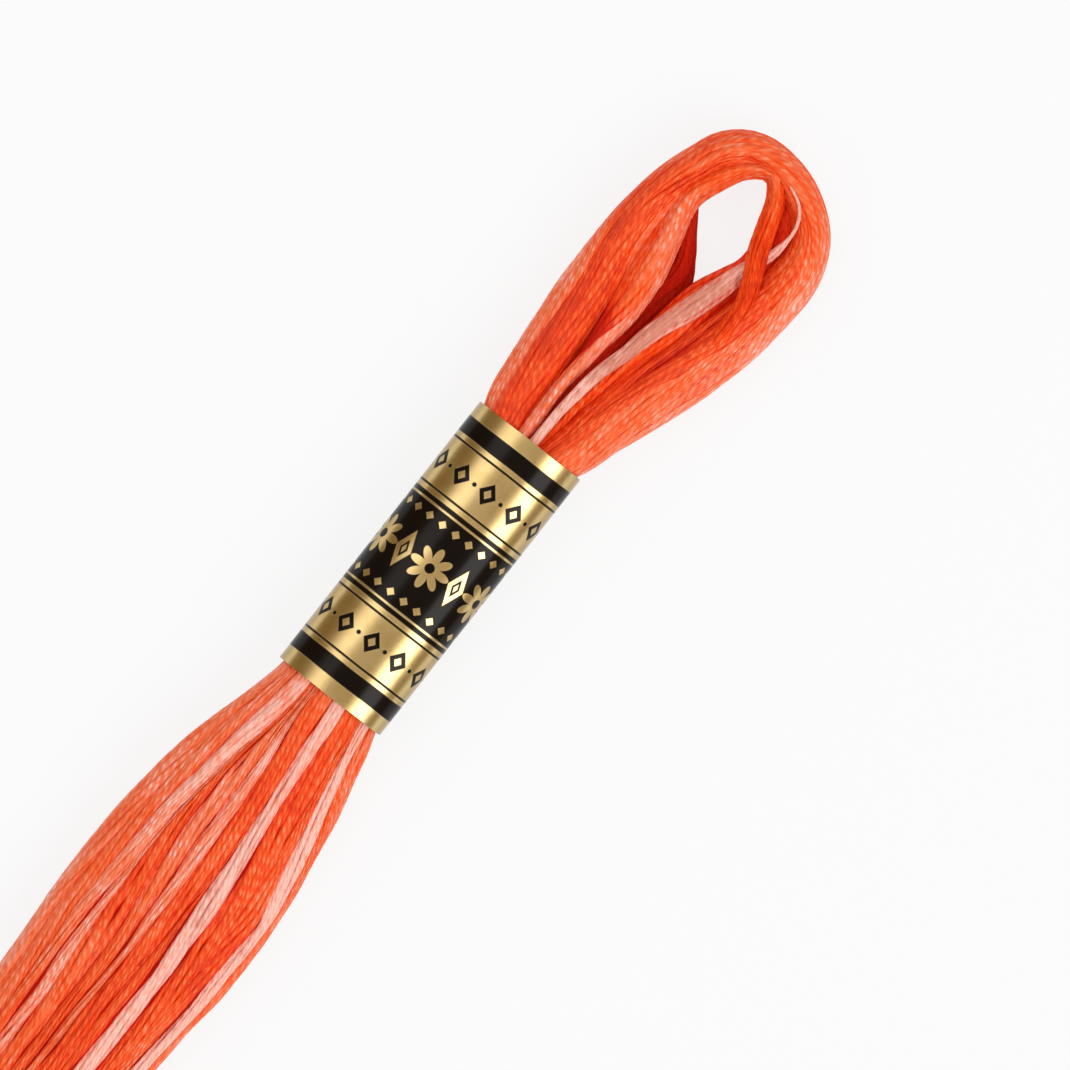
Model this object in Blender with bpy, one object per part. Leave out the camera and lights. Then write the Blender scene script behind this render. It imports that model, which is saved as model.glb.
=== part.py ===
"""Skein of six-strand embroidery floss held by a printed paper band.

The skein lies on its back on a flat surface. The floss is one hank: a lower body of turns, a neck
inside the band, and a loop of turns that opens round an eye. The band is a flat paper tube round
the neck, lapped and glued at the back.

Tables are in millimetres, measured from the middle of the band: x runs across the skein, y along
it towards the loop, z up from the surface that the skein lies on. The last step moves everything
so that the origin is at the bottom centre of the object's box.
"""

import math
from collections import namedtuple

import bmesh
import bpy
import numpy as np

MM = 0.001

# Driving dimensions: the band, the paper, and the neck of floss that the band holds.
BAND_LENGTH = 33.2
BAND_LEFT = -6.65
BAND_RIGHT = 6.40
BAND_HALF_DEPTH = 4.70
BAND_POINTS = 72
PAPER_WALL = 0.35
FIT_GAP = 0.30
NECK_HEIGHT = 5.15

# The power of the rounded section of the band and the body, which is flatter than an ellipse, and
# that of the groups of turns, which are ellipses.
FLAT_POWER = 2.3
ROUND_POWER = 2.0

# The lap of the paper at the back: how far it stands proud and where it lies across the band.
LAP_RISE = 0.20
LAP_FROM = -2.6
LAP_TO = 2.2

# Soft ridges that the turns press into the front of the paper.
BandRidge = namedtuple("BandRidge", "x half_width rise")
BAND_RIDGES = (
    BandRidge(-2.2, 1.3, 0.12),
    BandRidge(3.2, 1.1, 0.15),
    BandRidge(0.6, 1.2, -0.10),
)

# Lower body and neck, from the tip between the loop's legs down to the turned end of the floss.
# What reaches below z 0 is pressed flat. The groove is the depth between one turn and the next.
BodyRow = namedtuple("BodyRow", "y left right half_depth height groove")
NECK_LEFT = BAND_LEFT + PAPER_WALL + FIT_GAP
NECK_RIGHT = BAND_RIGHT - PAPER_WALL - FIT_GAP
NECK_HALF_DEPTH = BAND_HALF_DEPTH - PAPER_WALL - FIT_GAP
BODY_ROWS = (
    BodyRow(26.0, -0.9, 1.1, 1.4, 4.60, 0.00),
    BodyRow(22.0, -2.8, 3.0, 2.8, 4.80, 0.00),
    BodyRow(18.0, -5.0, 4.8, 3.7, 5.00, 0.00),
    BodyRow(15.9, NECK_LEFT, NECK_RIGHT, NECK_HALF_DEPTH, NECK_HEIGHT, 0.00),
    BodyRow(0.0, NECK_LEFT, NECK_RIGHT, NECK_HALF_DEPTH, NECK_HEIGHT, 0.00),
    BodyRow(-16.5, NECK_LEFT, NECK_RIGHT, NECK_HALF_DEPTH, NECK_HEIGHT, 0.00),
    BodyRow(-17.4, -6.35, 6.30, 4.10, 5.00, 0.16),
    BodyRow(-18.6, -6.65, 6.68, 4.15, 4.90, 0.22),
    BodyRow(-21.5, -7.38, 7.40, 4.20, 4.70, 0.30),
    BodyRow(-25.5, -8.46, 8.36, 4.28, 4.42, 0.34),
    BodyRow(-30.0, -9.48, 9.12, 4.35, 4.18, 0.38),
    BodyRow(-37.0, -10.35, 10.15, 4.38, 3.93, 0.42),
    BodyRow(-46.0, -10.64, 10.52, 4.35, 3.80, 0.44),
    BodyRow(-55.0, -10.22, 9.85, 4.25, 3.70, 0.44),
    BodyRow(-65.0, -9.60, 9.20, 4.10, 3.56, 0.42),
    BodyRow(-76.0, -8.95, 8.60, 3.95, 3.40, 0.42),
    BodyRow(-86.0, -8.50, 8.20, 3.75, 3.20, 0.42),
    BodyRow(-93.0, -8.10, 7.80, 3.45, 2.92, 0.42),
    BodyRow(-96.8, -7.60, 7.30, 2.90, 2.65, 0.40),
    BodyRow(-98.7, -7.00, 6.70, 2.00, 2.40, 0.30),
    BodyRow(-99.4, -6.40, 6.10, 1.00, 2.30, 0.16),
)

# Where one turn of floss meets the next across the front, as shares of the half width, from the
# right edge to the left one: where they leave the band, at the widest place, and at the turned end.
TurnSeam = namedtuple("TurnSeam", "at_band at_widest at_end")
FRONT_SEAMS = (
    TurnSeam(1.00, 1.00, 1.00),
    TurnSeam(0.83, 0.95, 0.90),
    TurnSeam(0.68, 0.81, 0.74),
    TurnSeam(0.52, 0.64, 0.58),
    TurnSeam(0.32, 0.455, 0.42),
    TurnSeam(0.08, 0.26, 0.22),
    TurnSeam(-0.25, 0.00, 0.04),
    TurnSeam(-0.40, -0.17, -0.14),
    TurnSeam(-0.55, -0.33, -0.32),
    TurnSeam(-0.70, -0.53, -0.52),
    TurnSeam(-0.86, -0.74, -0.72),
    TurnSeam(-1.00, -1.00, -1.00),
)
BACK_TURNS = 11
WIDEST_Y = -50.0
BODY_SPACING = 4.2

# How far each turn, from the right edge to the left one, stops short at the turned end.
END_STEPS = (1.6, 0.5, 0.0, 0.9, 0.3, 0.0, 1.1, 0.4, 0.2, 0.8, 1.9)
END_FROM = -90.0

# The groups of turns in the loop. Each is carried along its own line in the x-y plane, with its
# half width in that plane, its half depth and the height of its middle. The main loop goes round
# from the left leg to the right one, the inner loop crosses over the right leg, the pale turn
# runs beside the crease and round under the inner loop, and the two back groups close the gap
# between the legs below the eye.
LineRow = namedtuple("LineRow", "x y half_width half_depth height")
Group = namedtuple("Group", "name rows spacing turns groove")

MAIN_LOOP = (
    LineRow(-3.05, 12.0, 2.10, 2.70, 5.15),
    LineRow(-3.05, 16.6, 2.50, 3.40, 5.10),
    LineRow(-3.75, 18.4, 2.95, 3.75, 4.90),
    LineRow(-4.15, 22.0, 3.10, 3.80, 4.55),
    LineRow(-4.85, 28.0, 3.02, 3.75, 4.10),
    LineRow(-5.35, 34.0, 2.92, 3.75, 3.65),
    LineRow(-5.60, 39.0, 2.78, 3.80, 3.45),
    LineRow(-5.20, 44.5, 2.60, 3.85, 3.42),
    LineRow(-3.95, 48.9, 2.50, 3.90, 3.45),
    LineRow(-2.40, 52.3, 2.45, 3.95, 3.50),
    LineRow(-0.55, 53.9, 2.25, 3.95, 3.50),
    LineRow(2.10, 54.4, 2.10, 3.95, 3.50),
    LineRow(6.25, 53.4, 2.08, 3.90, 3.45),
    LineRow(9.45, 50.75, 2.30, 3.85, 3.42),
    LineRow(10.90, 46.3, 2.72, 3.80, 3.42),
    LineRow(10.15, 40.5, 3.18, 3.80, 3.50),
    LineRow(8.40, 34.0, 3.60, 3.75, 3.70),
    LineRow(6.40, 28.0, 3.70, 3.80, 4.10),
    LineRow(4.68, 22.0, 3.25, 3.80, 4.55),
    LineRow(3.85, 18.4, 2.92, 3.75, 4.90),
    LineRow(2.80, 16.6, 2.50, 3.40, 5.10),
    LineRow(2.80, 12.0, 2.10, 2.70, 5.15),
)
INNER_LOOP = (
    LineRow(-1.05, 13.0, 0.85, 1.30, 7.10),
    LineRow(-1.10, 17.0, 1.00, 1.55, 7.20),
    LineRow(-1.45, 22.0, 1.10, 1.90, 6.60),
    LineRow(-1.55, 27.0, 1.35, 2.20, 6.00),
    LineRow(-1.20, 32.0, 1.80, 2.50, 5.40),
    LineRow(-1.40, 37.0, 2.05, 2.60, 4.95),
    LineRow(-2.15, 42.0, 1.80, 2.70, 4.60),
    LineRow(-2.75, 46.0, 1.50, 2.80, 4.45),
    LineRow(-1.55, 49.6, 1.40, 2.75, 4.50),
    LineRow(0.10, 52.1, 1.10, 2.50, 4.80),
    LineRow(2.50, 53.3, 0.95, 2.15, 5.30),
    LineRow(4.25, 51.8, 0.95, 1.90, 5.60),
    LineRow(5.25, 49.2, 0.98, 1.75, 5.80),
    LineRow(6.35, 46.2, 1.05, 1.60, 6.00),
    LineRow(7.60, 43.4, 1.10, 1.45, 6.30),
    LineRow(8.60, 40.2, 1.10, 1.40, 6.35),
    LineRow(8.60, 36.0, 1.00, 1.40, 6.20),
    LineRow(7.50, 31.0, 0.80, 1.20, 6.20),
)
PALE_TURN = (
    LineRow(0.30, 14.0, 0.50, 0.40, 8.20),
    LineRow(0.30, 17.4, 0.66, 0.48, 8.55),
    LineRow(0.35, 20.0, 0.70, 0.52, 8.35),
    LineRow(0.90, 25.0, 0.80, 0.56, 7.75),
    LineRow(2.15, 30.0, 0.92, 0.60, 7.15),
    LineRow(3.30, 34.0, 1.05, 0.64, 6.65),
    LineRow(4.75, 38.0, 1.15, 0.66, 6.15),
    LineRow(5.80, 41.5, 1.05, 0.64, 5.60),
    LineRow(6.75, 44.6, 0.85, 0.58, 5.10),
    LineRow(7.60, 47.2, 0.66, 0.50, 5.40),
    LineRow(7.95, 49.6, 0.52, 0.48, 5.90),
    LineRow(7.35, 51.7, 0.46, 0.45, 6.30),
    LineRow(5.90, 53.1, 0.44, 0.42, 6.55),
    LineRow(4.10, 53.9, 0.40, 0.40, 6.60),
)
BACK_LEFT = (
    LineRow(-4.20, 48.4, 0.90, 1.90, 2.60),
    LineRow(-2.35, 45.55, 1.30, 1.90, 2.45),
    LineRow(-0.95, 43.35, 1.40, 1.90, 2.30),
    LineRow(0.55, 41.05, 1.50, 1.90, 2.30),
    LineRow(1.30, 39.3, 1.90, 1.95, 2.50),
    LineRow(1.20, 35.5, 2.00, 2.10, 3.20),
    LineRow(0.80, 28.5, 1.60, 2.50, 4.15),
    LineRow(0.30, 22.0, 1.20, 2.70, 4.85),
    LineRow(-0.20, 15.0, 0.80, 2.60, 5.10),
)
BACK_RIGHT = (
    LineRow(1.40, 53.9, 0.70, 1.60, 2.60),
    LineRow(4.30, 53.0, 1.00, 1.80, 2.50),
    LineRow(6.35, 50.8, 1.45, 1.80, 2.45),
    LineRow(7.25, 47.6, 1.95, 1.80, 2.45),
    LineRow(7.20, 44.2, 2.15, 2.00, 2.70),
    LineRow(6.25, 41.6, 2.35, 2.20, 3.10),
    LineRow(5.15, 39.1, 2.35, 2.40, 3.50),
    LineRow(4.10, 34.5, 2.20, 2.50, 3.95),
    LineRow(2.50, 29.0, 1.50, 2.60, 4.40),
    LineRow(1.40, 23.0, 1.20, 2.70, 4.80),
    LineRow(0.60, 15.0, 0.70, 2.60, 5.10),
)
LOOP_GROUPS = (
    Group("main_loop_turns", MAIN_LOOP, 1.9, 12, 0.34),
    Group("inner_loop_turns", INNER_LOOP, 2.6, 5, 0.24),
    Group("pale_turn", PALE_TURN, 2.6, 3, 0.10),
    Group("back_left_turns", BACK_LEFT, 4.0, 4, 0.24),
    Group("back_right_turns", BACK_RIGHT, 4.0, 4, 0.24),
)
POINTS_PER_TURN = 3
DEEPEST_GROOVE = 0.3  # of a group's half width

# The surface under the skein: a slab that covers all of it.
SLAB_SIZE = (60.0, 260.0, 10.0)

SHARP_ANGLE = math.radians(50)


def clear_scene():
    for obj in list(bpy.data.objects):
        bpy.data.objects.remove(obj)


def finish_material(name, colour, roughness, metallic):
    material = bpy.data.materials.new(name)
    material.use_nodes = True
    shader = material.node_tree.nodes["Principled BSDF"]
    shader.inputs["Base Color"].default_value = (*colour, 1.0)
    shader.inputs["Roughness"].default_value = roughness
    shader.inputs["Metallic"].default_value = metallic
    return material


def smooth_rows(rows, spacing):
    """The table's rows with more between them, no further apart along the line than the spacing.

    Between two rows it is a cubic. Its slope at a row is that of the line from the row before to
    the row after, held back where that would carry the curve past either row. Distances are along
    the table's first two columns.
    """
    table = np.array(rows, float)
    steps = np.linalg.norm(np.diff(table[:, :2], axis=0), axis=1)
    slope = np.gradient(table, np.concatenate([[0], np.cumsum(steps)]), axis=0)
    secant = np.diff(table, axis=0) / steps[:, None]
    before, after = secant[:-1], secant[1:]
    most = 3 * np.minimum(abs(before), abs(after)) * (before * after > 0)
    slope[1:-1] = np.clip(slope[1:-1], -most, most)
    found = []
    for i, step in enumerate(steps):
        count = math.ceil(step / spacing)
        t = np.arange(count)[:, None] / count
        found.append(
            (2 * t**3 - 3 * t**2 + 1) * table[i]
            + (t**3 - 2 * t**2 + t) * step * slope[i]
            + (3 * t**2 - 2 * t**3) * table[i + 1]
            + (t**3 - t**2) * step * slope[i + 1]
        )
    return np.vstack(found + [table[-1:]])


def superellipse(angle, power):
    """The point at this angle on a rounded unit section."""
    c, s = math.cos(angle), math.sin(angle)
    return (
        math.copysign(abs(c) ** (2 / power), c),
        math.copysign(abs(s) ** (2 / power), s),
    )


def seam_angle(share):
    """The section angle of a place on the front, from its share of the half width."""
    return math.acos(math.copysign(abs(share) ** (FLAT_POWER / 2), share))


def seam_share(seam, y):
    """How far across a seam lies at y: it drifts from the band to the widest place and the end."""
    stations = (BODY_ROWS[-1].y, WIDEST_Y, -BAND_LENGTH / 2)
    return float(np.interp(y, stations, (seam.at_end, seam.at_widest, seam.at_band)))


def body_angles(y):
    """Section angles round the body at y, of which the first of each turn lies in a groove."""
    seams = [seam_angle(seam_share(seam, y)) for seam in FRONT_SEAMS]
    seams += [math.pi * (1 + k / BACK_TURNS) for k in range(1, BACK_TURNS + 1)]
    return [
        start + (end - start) * k / POINTS_PER_TURN
        for start, end in zip(seams[:-1], seams[1:])
        for k in range(POINTS_PER_TURN)
    ]


def end_shortening(number, y):
    """How far a point near the turned end is drawn up, as its turn is shorter than the longest."""
    if y > END_FROM:
        return 0.0
    share = (END_FROM - y) / (END_FROM - BODY_ROWS[-1].y)
    turn = number // POINTS_PER_TURN
    turn = min(turn, 2 * BACK_TURNS - 1 - turn)
    return share**2 * END_STEPS[turn]


def body_ring(row):
    middle = (row.left + row.right) / 2
    half_width = (row.right - row.left) / 2
    ring = []
    for number, angle in enumerate(body_angles(row.y)):
        inset = row.groove if number % POINTS_PER_TURN == 0 else 0.0
        across, up = superellipse(angle, FLAT_POWER)
        x = middle + across * (half_width - inset)
        y = row.y + end_shortening(number, row.y)
        ring.append((x, y, row.height + up * (row.half_depth - inset)))
    return ring


def body_rings():
    return [body_ring(BodyRow(*row)) for row in smooth_rows(BODY_ROWS, BODY_SPACING)]


def group_ring(row, direction, group):
    """A ring of a group of turns, square to the group's line."""
    count = group.turns * POINTS_PER_TURN
    ring = []
    for number in range(count):
        inset = 0.0
        if number % POINTS_PER_TURN == 0:
            inset = min(group.groove, DEEPEST_GROOVE * row.half_width)
        across, up = superellipse(2 * math.pi * number / count, ROUND_POWER)
        across *= row.half_width - inset
        x = row.x + direction[1] * across
        y = row.y - direction[0] * across
        ring.append((x, y, row.height + up * (row.half_depth - inset)))
    return ring


def group_rings(group):
    table = smooth_rows(group.rows, group.spacing)
    directions = np.gradient(table[:, :2], axis=0)
    directions /= np.linalg.norm(directions, axis=1)[:, None]
    return [group_ring(LineRow(*row), way, group) for row, way in zip(table, directions)]


def add_ring(mesh, ring):
    return [mesh.verts.new([c * MM for c in point]) for point in ring]


def bridge(mesh, first, second):
    """Joins two rings of as many points with a band of faces."""
    for i in range(len(first)):
        j = (i + 1) % len(first)
        mesh.faces.new((first[i], first[j], second[j], second[i]))


def close_end(mesh, loop):
    """Closes a ring with strips from its front points to the back points under them."""
    count = len(loop)
    for i in range(count // 2):
        strip = (loop[i], loop[i + 1], loop[count - i - 1], loop[-i])
        mesh.faces.new(list(dict.fromkeys(strip)))


def mesh_object(name, mesh, material):
    """A new object with this mesh, its faces turned out and shaded smooth but for sharp edges."""
    bmesh.ops.recalc_face_normals(mesh, faces=mesh.faces)
    bmesh.ops.triangulate(mesh, faces=mesh.faces)
    data = bpy.data.meshes.new(name)
    mesh.to_mesh(data)
    mesh.free()
    data.materials.append(material)
    data.shade_smooth()
    data.set_sharp_from_angle(angle=SHARP_ANGLE)
    obj = bpy.data.objects.new(name, data)
    bpy.context.scene.collection.objects.link(obj)
    return obj


def closed_loft(name, rings, material):
    """One closed solid: the rings bridged in turn, with both ends closed."""
    mesh = bmesh.new()
    loops = [add_ring(mesh, ring) for ring in rings]
    for first, second in zip(loops[:-1], loops[1:]):
        bridge(mesh, first, second)
    close_end(mesh, loops[0])
    close_end(mesh, loops[-1])
    return mesh_object(name, mesh, material)


def add_boolean(obj, helper, operation):
    """Adds a Boolean with a helper, which itself isn't part of the object."""
    helper.hide_render = True
    helper.display_type = "WIRE"
    modifier = obj.modifiers.new(helper.name, "BOOLEAN")
    modifier.operation = operation
    modifier.object = helper
    modifier.solver = "EXACT"


def surface_slab(material):
    """The surface that presses the skein's underside flat, with its top at z 0."""
    mesh = bmesh.new()
    bmesh.ops.create_cube(mesh, size=MM)
    for vert in mesh.verts:
        vert.co.z -= MM / 2
        for axis, side in enumerate(SLAB_SIZE):
            vert.co[axis] *= side
    return mesh_object("surface_under_skein", mesh, material)


def make_hank(material):
    hank = closed_loft("floss_hank", body_rings(), material)
    for group in LOOP_GROUPS:
        add_boolean(hank, closed_loft(group.name, group_rings(group), material), "UNION")
    add_boolean(hank, surface_slab(material), "DIFFERENCE")
    return hank


def ridge_rise(x):
    """How far the front of the paper stands up over the turns beneath it, at x."""
    return sum(
        ridge.rise * math.exp(-(((x - ridge.x) / ridge.half_width) ** 2))
        for ridge in BAND_RIDGES
    )


def band_ring(y, outset):
    """A ring of the band at y. The outset from its inner skin is 0, or the wall for the outer one."""
    middle = (BAND_LEFT + BAND_RIGHT) / 2
    half_width = (BAND_RIGHT - BAND_LEFT) / 2 - PAPER_WALL + outset
    half_depth = BAND_HALF_DEPTH - PAPER_WALL + outset
    ring = []
    for number in range(BAND_POINTS):
        across, up = superellipse(2 * math.pi * (number + 0.5) / BAND_POINTS, FLAT_POWER)
        x = middle + across * half_width
        z = NECK_HEIGHT + up * half_depth
        if up > 0:
            z += up * ridge_rise(x)
        elif outset and LAP_FROM < x < LAP_TO:
            z -= LAP_RISE
        ring.append((x, y, z))
    return ring


def make_band(material):
    """The paper tube: an outer and an inner skin, joined at both cut edges."""
    ends = (BAND_LENGTH / 2, -BAND_LENGTH / 2)
    mesh = bmesh.new()
    outer = [add_ring(mesh, band_ring(y, PAPER_WALL)) for y in ends]
    inner = [add_ring(mesh, band_ring(y, 0.0)) for y in reversed(ends)]
    rings = outer + inner
    for first, second in zip(rings, rings[1:] + rings[:1]):
        bridge(mesh, first, second)
    return mesh_object("paper_band", mesh, material)


def world_points(obj):
    """The points of an object's shape, with its modifiers, in metres."""
    evaluated = obj.evaluated_get(bpy.context.evaluated_depsgraph_get())
    points = [evaluated.matrix_world @ vert.co for vert in evaluated.to_mesh().vertices]
    evaluated.to_mesh_clear()
    return points


def set_origin_under(shown):
    """Moves every object so that the bottom centre of the shown ones' box is at the origin."""
    bpy.context.view_layer.update()
    points = np.vstack([world_points(obj) for obj in shown])
    low, high = points.min(axis=0), points.max(axis=0)
    for obj in bpy.data.objects:
        obj.location.x -= (low[0] + high[0]) / 2
        obj.location.y -= (low[1] + high[1]) / 2
        obj.location.z -= low[2]


def main():
    clear_scene()
    floss = finish_material("coral_floss", (0.84, 0.16, 0.07), roughness=0.55, metallic=0.0)
    paper = finish_material("gold_and_black_paper", (0.45, 0.36, 0.15), roughness=0.35, metallic=0.6)
    hank = make_hank(floss)
    band = make_band(paper)
    set_origin_under((hank, band))


main()
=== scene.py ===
"""Embroidery floss skein: every strand of its turns, its printed paper band and the studio.

The file is laid out as an add-on and run as a script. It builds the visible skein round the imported
model. Tables are in millimetres, measured from the middle of the band: x across the skein, y along
it towards the loop, z up from the surface that it lies on.
"""

import math

import bpy
import numpy as np
from bpy.props import FloatProperty, FloatVectorProperty, PointerProperty
from mathutils import Euler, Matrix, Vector


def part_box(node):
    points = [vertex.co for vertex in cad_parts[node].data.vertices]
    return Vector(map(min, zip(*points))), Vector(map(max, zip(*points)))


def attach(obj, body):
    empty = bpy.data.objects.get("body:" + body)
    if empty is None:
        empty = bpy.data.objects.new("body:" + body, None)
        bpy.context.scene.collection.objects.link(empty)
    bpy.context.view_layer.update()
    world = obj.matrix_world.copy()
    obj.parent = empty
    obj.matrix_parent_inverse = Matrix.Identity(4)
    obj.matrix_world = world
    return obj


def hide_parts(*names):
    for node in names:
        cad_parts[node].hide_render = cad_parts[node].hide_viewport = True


bl_info = {
    "name": "Embroidery Floss Skein",
    "version": (1, 0, 0),
    "blender": (4, 5, 0),
    "location": "3D View > Sidebar > Skein",
    "description": "Builds a skein of six-strand floss with its paper band and a plain studio",
    "category": "Add Mesh",
}

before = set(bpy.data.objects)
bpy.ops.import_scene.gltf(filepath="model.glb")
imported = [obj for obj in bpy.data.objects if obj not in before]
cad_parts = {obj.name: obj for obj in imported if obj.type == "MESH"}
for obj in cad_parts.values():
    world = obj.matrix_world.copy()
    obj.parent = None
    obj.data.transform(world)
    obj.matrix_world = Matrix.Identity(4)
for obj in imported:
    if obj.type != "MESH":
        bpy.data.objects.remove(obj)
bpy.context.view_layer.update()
BAND_LOW, BAND_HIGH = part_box("paper_band")

MM = 0.001
BODY = "root"

# The band's outer skin across the skein, measured from its middle as in the tables.
BAND_LEFT, BAND_RIGHT = -6.65, 6.40
BAND_MIDDLE = (BAND_LEFT + BAND_RIGHT) / 2
BAND_HALF_WIDTH = (BAND_RIGHT - BAND_LEFT) / 2
BAND_HALF_DEPTH = 4.70
BAND_HEIGHT = 5.15
FLAT_POWER = 2.3
ROUND_POWER = 2.0

# Where the tables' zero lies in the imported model, in metres.
TABLE_ZERO = np.array(
    ((BAND_LOW.x + BAND_HIGH.x) / 2 - BAND_MIDDLE * MM, (BAND_LOW.y + BAND_HIGH.y) / 2, 0.0)
)

# Lower body: y, left edge, right edge, half depth, height of the middle.
BODY_ROWS = (
    (-8, -6.15, 5.9, 4.2, 5.15),
    (-16, -6.15, 5.9, 4.2, 5.15),
    (-16.9, -6.3, 6.1, 4.22, 5.08),
    (-17.6, -6.42, 6.36, 4.2, 4.98),
    (-18.6, -6.66, 6.68, 4.18, 4.9),
    (-21.5, -7.38, 7.4, 4.2, 4.7),
    (-25.5, -8.46, 8.36, 4.28, 4.42),
    (-30, -9.48, 9.12, 4.35, 4.18),
    (-37, -10.35, 10.15, 4.38, 3.93),
    (-46, -10.64, 10.52, 4.35, 3.8),
    (-55, -10.22, 9.85, 4.25, 3.7),
    (-65, -9.6, 9.2, 4.1, 3.56),
    (-76, -8.95, 8.6, 3.95, 3.4),
    (-86, -8.5, 8.2, 3.75, 3.2),
    (-93, -8.1, 7.8, 3.45, 2.92),
)
TURN_LENGTH = 6.5
TURN_NARROWING = 0.21

# Creases between the threads across the front of the lower body, left to right, at each y.
BODY_CREASES = (
    (-17, -5.9, -5.3, -4.4, -2.7, -2.6, -2.35, -2.05, -1.55, 0.4, 0.5, 2.05, 3.9, 4.4, 5.25, 5.95),
    (-20, -6.7, -6.05, -4.85, -2.85, -2.75, -2.45, -2, -1.5, 0.45, 0.55, 2.35, 4.2, 4.85, 5.72, 6.65),
    (-25, -7.95, -7, -5.6, -3.75, -3.6, -3.2, -1.9, -0.9, 1, 1.15, 2.7, 4.75, 5.75, 6.95, 7.95),
    (-30, -9.05, -7.8, -6.15, -4.6, -4.35, -3.65, -1.75, -0.45, 1.5, 1.65, 3.2, 5.5, 6.75, 8.35, 8.95),
    (-35, -9.85, -8.35, -6.75, -5.2, -4.9, -3.65, -1.75, -0.15, 1.85, 2.05, 3.95, 6.3, 7.75, 9.3, 9.8),
    (-40, -10.1, -8.7, -7.1, -5.5, -5.1, -3.3, -1.45, 0.05, 2, 2.3, 4.6, 6.8, 8.85, 9.85, 10.1),
    (-46, -10.2, -8.95, -7.3, -5.85, -4.95, -2.75, -1.1, 0.05, 1.9, 2.8, 4.8, 6.8, 8.65, 9.85, 10.15),
    (-50, -10.2, -9.1, -7.4, -6.05, -4.85, -2.35, -0.8, 0.05, 1.85, 3.1, 4.95, 6.8, 8.5, 9.65, 9.95),
    (-57, -9.8, -8.6, -7, -5.75, -4.3, -2.3, -0.95, -0.1, 1.6, 3, 4.95, 6.5, 7.9, 9.05, 9.35),
    (-78, -8.55, -7.6, -6.3, -5.1, -3.9, -2.4, -1.2, -0.1, 1.2, 2.4, 3.8, 5.2, 6.5, 7.7, 8.2),
    (-93, -7.8, -6.9, -5.7, -4.6, -3.5, -2.2, -1.1, -0.1, 1, 2.2, 3.4, 4.7, 5.8, 6.9, 7.4),
)

# Dye of each thread of the lower body, left to right, from 0, deep orange, to 1, pale (below 0 it is
# darkened as painted shade, and above 1 dusty): where it leaves the band, at the shoulder, at the
# widest place, below that and at the turned end.
BODY_DYE_AT = (-17, -30, -42, -57, -96)
BODY_DYE = (
    (0.45, 0.44, 0.62, 0.6, 0.4),
    (0.5, 0.4, 0.42, 0.45, 0.3),
    (0.35, 0.44, 0.36, 0.35, 0.45),
    (0.8, 0.85, 0.55, 0.35, 0.2),
    (0.5, 0.55, 0.6, 0.62, 0.5),
    (0.2, 0.15, 0.15, 0.22, 0.15),
    (0.3, 0.52, 0.4, 0.15, 0.1),
    (0.45, 0.7, 0.6, 0.45, 0.3),
    (0.12, 0.12, 0.1, 0.12, 0.15),
    (0.12, 0.12, 0.1, 0.15, 0.25),
    (0.95, 0.95, 0.98, 0.92, 0.8),
    (0.1, 0.12, 0.1, 0.1, 0.2),
    (0.1, 0.1, 0.08, 0.12, 0.15),
    (0.9, 0.95, 0.92, 0.95, 0.7),
    (0.4, 0.3, 0.35, 0.4, 0.35),
    (0.4, 0.35, 0.35, 0.35, 0.3),
)

# How far each thread lies under the skin, left to right: the pale ones lie on top.
BODY_SINK = (0.1, 0.05, 0.1, 0, 0.15, 0.12, 0.08, 0.05, 0.12, 0.2, 0, 0.1, 0.12, 0, 0.1, 0.08)

# Width of the creases, left to right, at each y.
CREASE_WIDTHS = (
    (-17, 0.08, 0.08, 0.14, 0.08, 0.03, 0.04, 0.08, 0.08, 0.05, 0.16, 0.14, 0.02, 0.12, 0.08, 0.05),
    (-30, 0.08, 0.12, 0.2, 0.26, 0.08, 0.26, 0.2, 0.16, 0.08, 0.34, 0.2, 0.02, 0.12, 0.08, 0.05),
    (-42, 0.08, 0.1, 0.12, 0.14, 0.08, 0.2, 0.28, 0.16, 0.12, 0.4, 0.32, 0.04, 0.2, 0.06, 0.05),
    (-50, 0.08, 0.12, 0.1, 0.42, 0.08, 0.28, 0.28, 0.18, 0.14, 0.5, 0.38, 0.06, 0.42, 0.06, 0.05),
    (-60, 0.1, 0.15, 0.12, 0.32, 0.12, 0.24, 0.28, 0.2, 0.16, 0.4, 0.3, 0.1, 0.32, 0.06, 0.05),
    (-96, 0.12, 0.15, 0.15, 0.15, 0.15, 0.15, 0.15, 0.15, 0.15, 0.15, 0.15, 0.15, 0.15, 0.12, 0.1),
)

# How far each thread's turn at the lower end stops short of the longest, left to right.
TURN_STEPS = (2.1, 1.7, 0.8, 0.2, 0.5, 1.1, 0.3, 0, 0.6, 0.2, 0.9, 0.3, 0, 0.6, 1.6, 2)

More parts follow.
